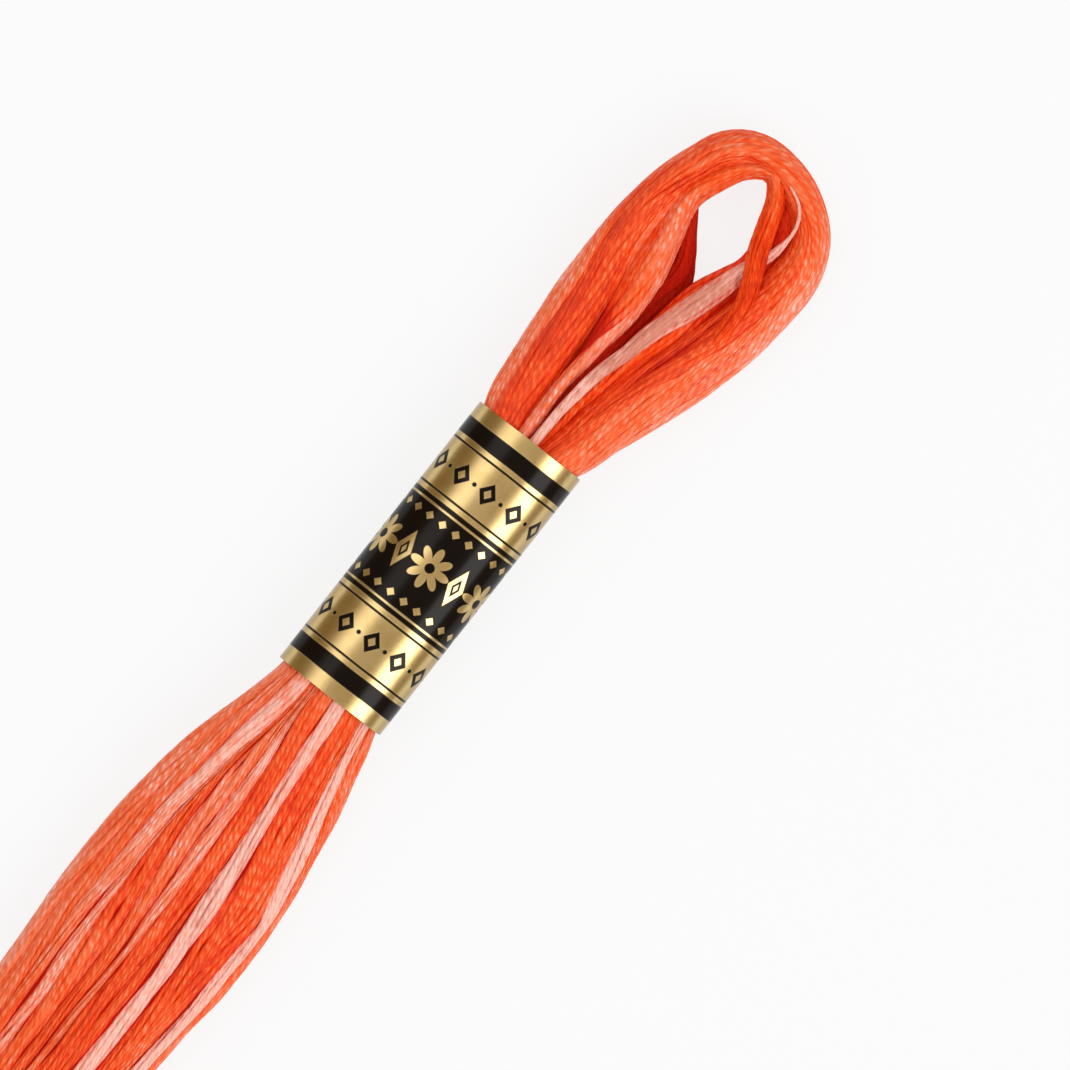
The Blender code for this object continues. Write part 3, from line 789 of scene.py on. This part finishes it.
def floss_look(tree, floss, gloss, bottom, ply_height):
    """Mercerised cotton: its dye from the thread's own value, with painted shade that makes it redder
    and darker in the creases, on the strands' flanks and between the plies, a painted sheen on the plies'
    crowns, a painted glow deep in the creases and a soft gloss."""
    group = bpy.data.node_groups.get("ply_twist") or twist_group()
    twist = tree.node("ShaderNodeGroup", {"Pitch": floss.ply_pitch / MM}, node_tree=group)
    height, groove, fibre, outside = (Value(tree, output) for output in twist.outputs)
    where = tree.place()
    dye = tree.attribute("dye") + 0.035 * tree.attribute("tone")
    mottle = ((tree.noise(where, 260.0, 2.0), 0.30), (tree.noise(where, 900.0, 1.0), 0.50), (fibre, 0.16))
    for source, share in mottle:
        dye = dye + share * (source - 0.5)
    # The grooves between the plies count as deeper, so that the painted shade at a crease's edge is
    # beaded.
    deep = tree.attribute("depth")
    deep = deep + (groove - 0.35) * tree.smooth(deep, 0.8, 1.1, 0.15, 0.0)
    # Painted sheen: a gleaming crown is coloured as a lighter turn is, and no lighter than the palest.
    painted_sheen = outside * tree.smooth(groove, 0.04, 0.45, 1.0, 0.0) * tree.smooth(deep, 0.40, 0.80, 1.0, 0.0)
    for scale, start, end, least in ((150.0, 0.40, 0.62, 0.45), (1000.0, 0.38, 0.60, 0.30)):
        painted_sheen = painted_sheen * tree.smooth(tree.noise(where, scale, 1.0), start, end, least)
    to_pale = tree.math("MINIMUM", tree.math("MAXIMUM", 0.95 - dye, -0.08), 0.34)
    dye = dye + painted_sheen * to_pale
    dyes = {
        DYE_BOTTOM: floss.painted_shade_dark, 0.0: floss.deep, 0.15: floss.orange, 0.4: floss.coral,
        0.65: floss.salmon, 0.95: floss.pale, 1.25: floss.dusty,
    }
    span = DYE_TOP - DYE_BOTTOM
    stops = {(place - DYE_BOTTOM) / span: colour for place, colour in dyes.items()}
    dyed = tree.ramp((dye - DYE_BOTTOM) / span, stops)
    # Painted shade: the deeper a point lies, the more its colour goes to the crease's red and, at the
    # bottom, darker still, with a little more in the grooves between the plies.
    crease = opaque(floss.crease)
    at_bottom = opaque(bottom * c for c in floss.crease)
    deepest = tree.mix(tree.smooth(deep, 1.0, 1.5), crease, at_bottom)
    shade = tree.smooth(deep, 0.50, 1.05, 0.0, 0.90) + 0.10 * groove
    rough = tree.smooth(groove, 0.0, 1.0, floss.roughness, 0.75)
    # Painted glow: an emission that stands for light come through the floss to the bottom of its creases.
    glow = tree.smooth(deep, 0.44, 0.78) * tree.smooth(deep, 0.9, 1.25, 1.0, bottom - 0.3)
    inner_light = tree.mix(tree.smooth(deep, 0.5, 1.0, 0.35, 1.0), dyed, crease)
    return {
        "Base Color": tree.mix(tree.math("MINIMUM", shade, 1.0), dyed, deepest),
        "Normal": tree.bump(height, ply_height),
        "Roughness": tree.math("MAXIMUM", rough, tree.smooth(deep, 0.5, 1.0, 0.0, 0.95)),
        "Emission Color": tree.mix(glow, (0.0, 0.0, 0.0, 1.0), inner_light),
        "Emission Strength": CREASE_GLOW,
        "Specular IOR Level": gloss,
        "Specular Tint": (1.0, 0.74, 0.48, 1.0),
    }


def core_look(tree, floss):
    """The floss under the shown turns, in the crease's red and a darker painted shade, with fine
    lengthwise streaks and a faint painted glow.
    """
    long_way = tree.value("ShaderNodeMapping", {0: tree.place(), 3: (2600.0, 160.0, 2600.0)})
    streak = tree.noise(long_way, 1.0, 2.0)
    painted_shade_dark = tuple(0.55 * c for c in floss.crease)
    return {
        "Base Color": tree.ramp(streak, {0.3: painted_shade_dark, 0.7: floss.crease}),
        "Normal": tree.bump(streak, 0.3),
        "Roughness": 0.95,
        "Specular IOR Level": 0.1,
        "Emission Color": opaque(floss.crease),
        "Emission Strength": CREASE_GLOW / 2,
    }


def band_print(tree):
    """How black the band is at each place, worked out from its map in millimetres round and along
    it: stripes near both ends, a black belt of gold rosettes and dots, and rows of lozenges."""
    x, y = tree.mapped("print")
    up = abs(y)

    def below(value, most):
        return tree.smooth(value, most - PRINT_EDGE, most + PRINT_EDGE, 1.0, 0.0)

    def between(value, low, high):
        return tree.smooth(value, low - PRINT_EDGE, low + PRINT_EDGE) * below(value, high)

    def cell(size, start=0.0):
        """Distance round the band from the middle of the nearest cell, with its sign."""
        return tree.math("MODULO", x + (size * 400.5 - start), size) - size / 2

    def distance(across, along):
        return tree.math("SQRT", across * across + along * along)

    # A rosette's edge goes in and out by the size of a cosine of four times the way round it.
    across = cell(ROSETTE_STEP)
    far = distance(across, y)
    petal = abs(tree.math("COSINE", tree.math("ARCTAN2", y, across) * 4.0))
    edge = far - (petal * PETAL_LENGTH + ROSETTE_RADIUS)
    gold = tree.smooth(edge, -0.06, 0.06, 1.0, 0.0) * tree.smooth(far, 0.50, 0.60)
    gem = abs(cell(ROSETTE_STEP, ROSETTE_STEP / 2)) + up * 0.42
    gems = below(gem, 0.95) * tree.smooth(gem, 0.42, 0.52)
    dots = below(abs(cell(DOT_STEP)) + abs(up - DOT_PLACE), 0.50)
    for other in (gems, below(gem, 0.22), dots, between(up, *BELT_LINE)):
        gold = tree.math("MAXIMUM", gold, other)
    lozenge = abs(cell(LOZENGE_STEP)) + abs(up - LOZENGE_PLACE) * 0.8
    dot = distance(cell(LOZENGE_STEP, LOZENGE_STEP / 2), up - LOZENGE_PLACE)
    row = below(lozenge, 1.05) * tree.smooth(lozenge, 0.40, 0.50) + below(dot, 0.24)
    belt = below(up, BELT_EDGE)
    ink = belt * (1.0 - gold) + row * (1.0 - belt)
    for low, high in PRINT_LINES:
        ink = ink + between(up, low, high)
    return tree.math("MINIMUM", ink, 1.0)


def foil_look(tree, band):
    """Gold foil paper with a black print, darkened by a painted dark reflection where it is seen aslant.
    """
    ink = band_print(tree)
    where = tree.place()
    grain = tree.noise(where, 5200.0, 3.0)
    foil = tree.ramp(tree.noise(where, 420.0, 2.0), {0.3: band.tarnish, 0.62: band.gold})
    # Painted reflection: the foil darkens towards the dull colour where it is seen aslant, as at the
    # band's sides.
    aslant = tree.value("ShaderNodeLayerWeight", {"Blend": 0.5}, "Facing")
    foil = tree.mix(tree.smooth(aslant, 0.20, 0.60, 0.0, 0.60), foil, opaque(band.dull))
    return {
        "Base Color": tree.mix(ink, foil, opaque(band.black)),
        "Metallic": 1.0 - ink,
        "Roughness": grain * 0.08 + (band.roughness - 0.04),
        "Normal": tree.bump(grain * 0.10 + ink * 0.6, 0.01),
        "Specular IOR Level": 0.08,
        "Coat Weight": 0.20,
        "Coat Roughness": 0.15,
    }


def bare_paper_look(tree):
    """The paper's back and edges, with its pulp."""
    pulp = tree.noise(tree.place(), 3000.0, 4.0)
    return {
        "Base Color": tree.ramp(pulp, {0.3: (0.62, 0.58, 0.50), 0.7: (0.78, 0.75, 0.68)}),
        "Roughness": tree.smooth(pulp, 0.3, 0.7, 0.75, 0.9),
    }


def floor_look(tree, stage):
    """A plain floor with light shining through it."""
    return {
        "Base Color": opaque(stage.floor),
        "Roughness": 0.9,
        "Specular IOR Level": 0.0,
        "Emission Color": (1.0, 1.0, 1.0, 1.0),
        "Emission Strength": stage.floor_light,
    }


# Settings


def colour(name, description, default):
    return FloatVectorProperty(
        name=name, description=description, default=default, size=3, min=0.0, max=1.0, subtype="COLOR"
    )


def metres(name, description, default, least=0.0):
    return FloatProperty(
        name=name, description=description, default=default, min=least, unit="LENGTH", subtype="DISTANCE"
    )


def factor(name, description, default):
    return FloatProperty(
        name=name, description=description, default=default, min=0.0, max=1.0, subtype="FACTOR"
    )


def strength(name, description, default):
    return FloatProperty(name=name, description=description, default=default, min=0.0)


class FlossSettings(bpy.types.PropertyGroup):
    ply_pitch: metres("Ply pitch", "Length of one turn of a strand's two plies", 2.5 * MM, 0.5 * MM)
    thickest: metres("Strand radius", "Radius of a strand that has room to spread", 0.31 * MM, 0.1 * MM)
    crown: metres("Crown", "How far a thread's middle stands above its edges", 0.11 * MM)
    roughness: factor("Roughness", "Roughness of the crown of a ply", 0.33)
    # Painted shade: the darkest stop of the dye scale, reached below 0 where the loop's turns lie in
    # shade.
    painted_shade_dark: colour("Dark", "Dye where the deep turns are darkest", (0.66, 0.030, 0.002))
    deep: colour("Deep", "Dye of the deepest turns", (0.82, 0.045, 0.002))
    orange: colour("Orange", "Main dye", (0.89, 0.075, 0.004))
    coral: colour("Coral", "Dye of the lighter turns", (0.90, 0.150, 0.045))
    salmon: colour("Salmon", "Dye between coral and pale", (0.93, 0.252, 0.145))
    pale: colour("Pale", "Dye of the palest turns", (0.98, 0.530, 0.440))
    dusty: colour("Dusty", "Dye of the palest turns where they are dull", (0.68, 0.240, 0.172))
    # The crease colour is painted shade: the red that the floss is darkened towards in its creases, on
    # its flanks and where it lies deep.
    crease: colour("Crease", "Colour between turns", (0.54, 0.010, 0.004))


class BandSettings(bpy.types.PropertyGroup):
    length: metres("Length", "Length of the paper band along the skein", BAND_HIGH.y - BAND_LOW.y, 5 * MM)
    thickness: metres("Paper thickness", "Thickness of the paper", 0.14 * MM, 0.05 * MM)
    gold: colour("Gold", "Colour of the foil", (0.87, 0.66, 0.31))
    tarnish: colour("Tarnish", "Colour of the foil where it is duller", (0.80, 0.57, 0.24))
    # Painted reflection: the dark that the foil goes to where it is seen aslant.
    dull: colour("Dull", "Colour of the foil where it is seen aslant", (0.16, 0.10, 0.03))
    black: colour("Black", "Colour of the print", (0.006, 0.003, 0.002))
    roughness: factor("Roughness", "Roughness of the foil", 0.29)


class StageSettings(bpy.types.PropertyGroup):
    distance: metres("Camera distance", "From the camera to the skein", 1.2, 0.1)
    picture_width: metres("Picture width", "Width that the picture takes in", 109.57 * MM, 10 * MM)
    roll: FloatProperty(
        name="Roll", description="Turn of the picture about the line of sight",
        default=math.radians(38.155), unit="ROTATION", subtype="ANGLE",
    )
    left_light: strength("Left light", "Power of the light on the left in watts", 1.65)
    right_light: strength("Right light", "Power of the light on the right in watts", 3.8)
    sky: strength("Sky", "Strength of the even light from all round", 0.72)
    seen_sky: strength("Seen sky", "Strength of that light in gloss", 0.18)
    end_sky: strength("End sky", "Strength of it in gloss past the skein's ends", 0.80)
    seen_tint: colour("Seen tint", "Colour of that light in gloss", (1.0, 0.66, 0.24))
    floor: colour("Floor", "Colour of the floor", (0.12, 0.12, 0.12))
    floor_light: strength("Floor light", "Strength of the light that shines through the floor", 0.832)


# Operators


def dress(piece, node):
    """Hangs a finished piece on the frame."""
    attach(piece, BODY)
    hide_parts(node)


def dressed_group(
    context, look, name, surface, edges, dye, rng, wander, crown_share=1.0, steps_back=0.0,
    shade=0.0, sink=0.0, gaps=0.05, parts=None,
):
    """The strands of one group, cut into pieces of whole threads by their first and last."""
    floss = context.scene.skein_floss
    path, out, thick, depth = threads_on(
        surface, edges, np.broadcast_to(gaps, edges.shape), rng, floss.crown / MM * crown_share,
        floss.thickest / MM, wander, steps_back, sink,
    )
    dye = np.repeat(dye, STRANDS, axis=0)
    dye += waves(rng, len(dye), surface.along, 0.06, 30, 8)
    # Painted shade: a thread's shade counts as extra depth, which darkens its colour.
    shade = np.broadcast_to(shade, (len(edges) - 1, edges.shape[1]))
    depth = depth + np.repeat(shade, STRANDS, axis=0)
    material = bpy.data.materials.get(look) or new_material(look, floss_look, floss, *FLOSS_LOOKS[look])
    for label, first, last in parts or (("", 0, len(edges) - 1),):
        pick = slice(first * STRANDS, last * STRANDS)
        piece = strands_object(
            name + label, path[pick], out[pick], thick[pick], dye[pick], depth[pick],
            floss.ply_pitch / MM, rng, material,
        )
        dress(piece, "floss_hank")


class SKEIN_OT_body_turns(bpy.types.Operator):
    """Builds the threads of the lower body, from the band round the turned end and back"""

    bl_idname = "skein.body_turns"
    bl_label = "Lower Body Turns"

    def execute(self, context):
        rng = np.random.default_rng(11)
        surface = BodySurface(RING_STEP)
        x = down_the_skein(BODY_CREASES, surface.y)
        share = (x - surface.middle) / surface.half_width
        inner = share_angle(share, surface.half_width, surface.half_depth, FLAT_POWER)
        past_side = np.full((1, inner.shape[1]), 0.07)
        edges = np.concatenate([math.pi + past_side, inner, -past_side])
        dye = down_the_skein(np.column_stack([BODY_DYE_AT, np.transpose(BODY_DYE)]), surface.y_at(0.0))
        # The back of each turn has its own dye, further along the same thread.
        behind = np.clip((surface.along - surface.along.mean()) / 60, 0, 1)
        dye += behind * 0.25 * np.sin(np.arange(len(dye)))[:, None]
        dye += waves(rng, len(dye), surface.along, 0.04, 60, 15)
        gaps = down_the_skein(CREASE_WIDTHS, surface.y_at(0.0))
        gaps = np.concatenate([0 * past_side, gaps, 0 * past_side])
        # Painted shade: a little less of it on all the body's threads, and less still on the pale ones.
        dressed_group(
            context, "coral_floss_strands", "floss_body", surface, edges, dye, rng, 0.06,
            steps_back=TURN_STEPS, sink=np.array(BODY_SINK)[:, None], gaps=gaps,
            shade=-0.04 - 0.08 * np.clip((dye - 0.5) / 0.4, 0, 1),
            parts=(("_left_turns", 0, 5), ("_middle_turns", 5, 11), ("_right_turns", 11, 16)),
        )
        return {"FINISHED"}


def even_edges(surface, count, rng, sway):
    """Edges of threads at even angles round a section, which sway a little along it."""
    angle = math.tau * np.arange(count + 1)[:, None] / count
    moved = waves(rng, count, surface.along, sway, 80, 25)
    return angle + np.concatenate([moved, moved[:1]])


def open_creases(surface, count, rng):
    """Widths of the creases between threads round a section, which open and close along it."""
    widths = NARROW_CREASE + waves(rng, count, surface.along, 0.06, 40, 12)
    widths = np.clip(widths, NARROW_CREASE, WIDE_CREASE)
    return np.concatenate([widths, widths[:1]])


class SKEIN_OT_loop_turns(bpy.types.Operator):
    """Builds the threads of the main loop, from the left leg round to the right one"""

    bl_idname = "skein.loop_turns"
    bl_label = "Main Loop Turns"

    def execute(self, context):
        rng = np.random.default_rng(23)
        surface = LoopSurface(MAIN_LOOP, RING_STEP)
        edges = even_edges(surface, 12, rng, 0.07)
        dye = dye_along(MAIN_LOOP_DYE, 12, surface.along, rng)
        gaps = open_creases(surface, 12, rng)
        gaps[[0, 6, 12]] = NARROW_CREASE
        # The crease down the front of the right leg.
        x, y = surface.line.T
        gaps[2] += 0.40 * np.clip((y - 25) / 3, 0, 1) * np.clip((40 - y) / 3, 0, 1) * (x > 0)
        dressed_group(
            context, "coral_floss_loop", "floss_loop", surface, edges, dye, rng, 0.10,
            crown_share=0.7, gaps=gaps, shade=table_along(MAIN_LOOP_SHADE, 12, surface.along),
            parts=(("_front_turns", 0, 6), ("_back_turns", 6, 12)),
        )
        return {"FINISHED"}


class SKEIN_OT_inner_turns(bpy.types.Operator):
    """Builds the inner turns: those that cross the right leg, the pale one and those behind"""

    bl_idname = "skein.inner_turns"
    bl_label = "Inner Turns"

    def execute(self, context):
        rng = np.random.default_rng(37)
        surface = LoopSurface(INNER_LOOP, RING_STEP)
        valley = np.array(INNER_LOOP_VALLEY)
        lean, middle_shade, left_shade = eased(valley[:, 0], valley[:, 1:], surface.along).T
        shade = np.zeros((6, len(surface.along)))
        shade[1], shade[2], shade[3] = middle_shade, left_shade, left_shade
        edges = even_edges(surface, 6, rng, 0.08)
        edges[1:3] += lean * np.array((1.0, 0.5))[:, None]
        dye = dye_along(INNER_LOOP_DYE, 6, surface.along, rng)
        gaps = open_creases(surface, 6, rng)
        dressed_group(
            context, "coral_floss_inside", "floss_inner_turns", surface, edges, dye, rng, 0.06,
            crown_share=0.8, gaps=gaps, shade=shade, sink=0.3 * shade,
        )
        for name, look, rows, dyes, count, sway, wander, crown_share, shades in (
            ("pale_turn", "strands", PALE_TURN, PALE_TURN_DYE, 2, 0.03, 0.03, 0.5, PALE_TURN_SHADE),
            ("back_left_turns", "behind", BACK_LEFT, BACK_DYE, 5, 0.08, 0.06, 0.8, BACK_LEFT_SHADE),
            ("back_right_turns", "inside", BACK_RIGHT, BACK_DYE, 5, 0.08, 0.06, 0.8, BACK_RIGHT_SHADE),
        ):
            surface = LoopSurface(rows, RING_STEP)
            edges = even_edges(surface, count, rng, sway)
            dye = dye_along(dyes, count, surface.along, rng)
            dressed_group(
                context, "coral_floss_" + look, "floss_" + name, surface, edges, dye, rng, wander,
                crown_share=crown_share, shade=table_along((shades,), 1, surface.along)[0],
            )
        return {"FINISHED"}


class SKEIN_OT_core(bpy.types.Operator):
    """Builds the floss under the shown turns, so that no light passes between them"""

    bl_idname = "skein.core"
    bl_label = "Core"

    def execute(self, context):
        angle = math.tau * np.arange(CORE_SIDES) / CORE_SIDES
        bottom = BODY_ROWS[-1][0]
        y = np.linspace(8.0, bottom - TURN_LENGTH + 1.6, CORE_ROWS)
        left, right, half_depth, height = down_the_skein(BODY_ROWS, y)[..., None]
        past = np.clip((bottom - y) / (TURN_LENGTH - 1.4), 0, 1)[:, None]
        shrink = np.sqrt(np.maximum(1 - past**2, 0.02))
        half = ((right - left) / 2 - CORE_INSET) * (1 - 0.2 * past)
        x, z = section(angle, half, (half_depth - CORE_INSET) * shrink, FLAT_POWER)
        x, z = (left + right) / 2 + x, height + z
        grids = [np.stack([x, np.broadcast_to(y[:, None], x.shape), z], -1)[:, ::-1]]
        for rows in (MAIN_LOOP, INNER_LOOP, BACK_LEFT, BACK_RIGHT):
            surface = LoopSurface(rows, CORE_STEP)
            surface.half_width = np.maximum(surface.half_width - CORE_INSET, CORE_LEAST)
            surface.half_depth = np.maximum(surface.half_depth - CORE_INSET, CORE_LEAST)
            around = np.broadcast_to(angle[:, None], (CORE_SIDES, len(surface.along)))
            grids.append(surface.points(around).transpose(1, 0, 2))
        for grid in grids:
            grid[..., 2] = np.maximum(grid[..., 2], CORE_FLOOR)
        material = new_material("deep_floss", core_look, context.scene.skein_floss)
        piece = finished("floss_core", tubes_mesh("floss_core", grids), material)
        dress(piece, "floss_hank")
        return {"FINISHED"}


def sleeve_skins(band):
    """The paper strip wound once round the neck and lapped at the back. The section's angle goes
    from the inner end, behind, a full turn and the lap further. The skin stands out by a paper's
    thickness over the lap, and its front rises over each ridge by a bell curve of x.
    Returns the outer and inner skins, each column's distance round from the front's middle and each
    row's y."""
    thickness = band.thickness / MM
    half = band.length / MM / 2
    width, depth = BAND_HALF_WIDTH, BAND_HALF_DEPTH
    start, end = (
        math.tau - share_angle(x / width, width, depth, FLAT_POWER) for x in (LAP_TO, LAP_FROM)
    )
    angle = np.linspace(start, end - math.tau, BAND_COLUMNS)
    lapped = np.clip((start - math.tau + LAP_SLOPE - angle) / LAP_SLOPE, 0, 1)
    lapped = lapped**2 * (3 - 2 * lapped) * LAP_LIFT * thickness
    y = np.linspace(-half, half, BAND_ROWS)
    skins = []
    for outset in (0.0, -thickness):
        x, z = section(angle, width + outset, depth + outset, FLAT_POWER)
        out = unit(np.stack([x, z], -1))
        x, z = x + out[:, 0] * lapped, z + out[:, 1] * lapped
        rise = sum(r * np.exp(-(((x + BAND_MIDDLE - c) / w) ** 2)) for c, w, r in BAND_RIDGES)
        z = z + np.where(z > 0, z / depth * rise, 0)
        if not skins:
            run, front = run_of(x, z), z > 0
            run = run - np.interp(0.0, x[front], run[front])
        skin = np.broadcast_arrays(BAND_MIDDLE + x, y[:, None], BAND_HEIGHT + z)
        skins.append(np.stack(skin, -1))
    return skins, run, y


class SKEIN_OT_paper_band(bpy.types.Operator):
    """Builds the printed paper band round the neck"""

    bl_idname = "skein.paper_band"
    bl_label = "Paper Band"

    def execute(self, context):
        band = context.scene.skein_band
        skins, round_it, y = sleeve_skins(band)
        rng = np.random.default_rng(5)
        ripple = waves(rng, 1, round_it, 0.02, 9, 4)[0] * np.linspace(-1, 1, BAND_ROWS)[:, None] ** 2
        for skin in skins:
            skin[..., 1] += ripple * np.sign(skin[..., 1])
        points = np.concatenate([skin.reshape(-1, 3) for skin in skins]) * MM + TABLE_ZERO
        number = np.arange(BAND_ROWS * BAND_COLUMNS).reshape(BAND_ROWS, BAND_COLUMNS)
        corner = [number[:-1, :-1], number[:-1, 1:], number[1:, 1:], number[1:, :-1]]
        outside = np.stack(corner, -1).reshape(-1, 4)
        inside = outside[:, ::-1] + number.size
        rim = np.concatenate([number[0, :], number[1:, -1], number[-1, -2::-1], number[-2:0:-1, 0]])
        next_rim = np.roll(rim, -1)
        edge = np.stack([next_rim, rim, rim + number.size, next_rim + number.size], -1)
        faces = np.concatenate([outside, inside, edge])
        mesh = bpy.data.meshes.new("paper_band_sleeve")
        mesh.from_pydata(points, [], faces.tolist())
        where = np.stack(np.broadcast_arrays(round_it, y[:, None]), -1).reshape(-1, 2)
        add_map(mesh, "print", np.concatenate([where, where])[faces.ravel()])
        foil = new_material("gold_and_black_paper_print", foil_look, band)
        bare = new_material("bare_paper_back", bare_paper_look)
        piece = finished("paper_band_sleeve", mesh, foil, bare)
        is_bare = (np.arange(len(faces)) >= len(outside)).astype(np.int32)
        mesh.polygons.foreach_set("material_index", is_bare)
        mesh.set_sharp_from_angle(angle=math.radians(50))
        dress(piece, "paper_band")
        return {"FINISHED"}


class SKEIN_OT_stage(bpy.types.Operator):
    """Builds the floor, the lights and the camera straight above the skein"""

    bl_idname = "skein.stage"
    bl_label = "Stage"

    def execute(self, context):
        scene, stage = context.scene, context.scene.skein_stage
        mesh = bpy.data.meshes.new("floor")
        side = FLOOR_HALF_SIDE
        corners = [(-side, -side, 0), (side, -side, 0), (side, side, 0), (-side, side, 0)]
        mesh.from_pydata(corners, [], [(0, 1, 2, 3)])
        finished("floor", mesh, new_material("pale_floor", floor_look, stage))

        world = bpy.data.worlds.new("studio")
        world.use_nodes = True
        tree = Tree(world.node_tree)
        mirrored = tree.value("ShaderNodeLightPath", output="Is Glossy Ray")
        # In gloss the studio is brighter past the skein's two ends than above and beside it.
        towards = tree.value("ShaderNodeTexCoord", output="Generated")
        ends = abs(tree.value("ShaderNodeSeparateXYZ", {0: towards}, 1))
        seen = tree.smooth(ends, 0.40, 0.85, stage.seen_sky, stage.end_sky)
        tree.fill(world.node_tree.nodes["Background"].inputs, {
            "Color": tree.mix(mirrored, (1.0, 1.0, 1.0, 1.0), opaque(stage.seen_tint)),
            "Strength": tree.smooth(mirrored, 0.0, 1.0, stage.sky, seen),
        })
        scene.world = world
        middle = np.array(PICTURE_MIDDLE) * MM + TABLE_ZERO
        for name, size, place in STUDIO_LIGHTS:
            lamp = bpy.data.lights.new(name, "AREA")
            lamp.energy, lamp.size = getattr(stage, name), size
            light = bpy.data.objects.new(name, lamp)
            light.location = Vector(middle) + Vector(place)
            light.rotation_euler = (-Vector(place)).to_track_quat("-Z", "Y").to_euler()
            scene.collection.objects.link(light)

        camera = bpy.data.cameras.new("camera")
        camera.sensor_width = SENSOR_WIDTH
        camera.lens = SENSOR_WIDTH * stage.distance / stage.picture_width
        camera.clip_end = 20.0
        camera.dof.use_dof = False
        viewer = bpy.data.objects.new("camera", camera)
        viewer.location = middle + (0.0, 0.0, stage.distance)
        viewer.rotation_euler = Euler((0.0, 0.0, stage.roll))
        scene.collection.objects.link(viewer)
        scene.camera = viewer
        scene.view_settings.view_transform = "Standard"
        return {"FINISHED"}


class SKEIN_PT_panel(bpy.types.Panel):
    """Lists the skein's parts and their settings"""

    bl_idname = "SKEIN_PT_panel"
    bl_label = "Floss Skein"
    bl_space_type = "VIEW_3D"
    bl_region_type = "UI"
    bl_category = "Skein"

    def draw(self, context):
        for label in SETTINGS:
            settings = getattr(context.scene, label)
            box = self.layout.box()
            for name in settings.__annotations__:
                box.prop(settings, name)
        for operator in OPERATORS:
            self.layout.operator(operator.bl_idname)


OPERATORS = (
    SKEIN_OT_core,
    SKEIN_OT_body_turns,
    SKEIN_OT_loop_turns,
    SKEIN_OT_inner_turns,
    SKEIN_OT_paper_band,
    SKEIN_OT_stage,
)
SETTINGS = {
    "skein_floss": FlossSettings,
    "skein_band": BandSettings,
    "skein_stage": StageSettings,
}


def register():
    for kind in (*SETTINGS.values(), *OPERATORS, SKEIN_PT_panel):
        bpy.utils.register_class(kind)
    for name, kind in SETTINGS.items():
        setattr(bpy.types.Scene, name, PointerProperty(type=kind))


def unregister():
    for name in SETTINGS:
        delattr(bpy.types.Scene, name)
    for kind in (SKEIN_PT_panel, *reversed(OPERATORS), *reversed(SETTINGS.values())):
        bpy.utils.unregister_class(kind)


def main():
    register()
    bpy.ops.skein.core()
    bpy.ops.skein.body_turns()
    bpy.ops.skein.loop_turns()
    bpy.ops.skein.inner_turns()
    bpy.ops.skein.paper_band()
    bpy.ops.skein.stage()


if __name__ == "__main__":
    main()
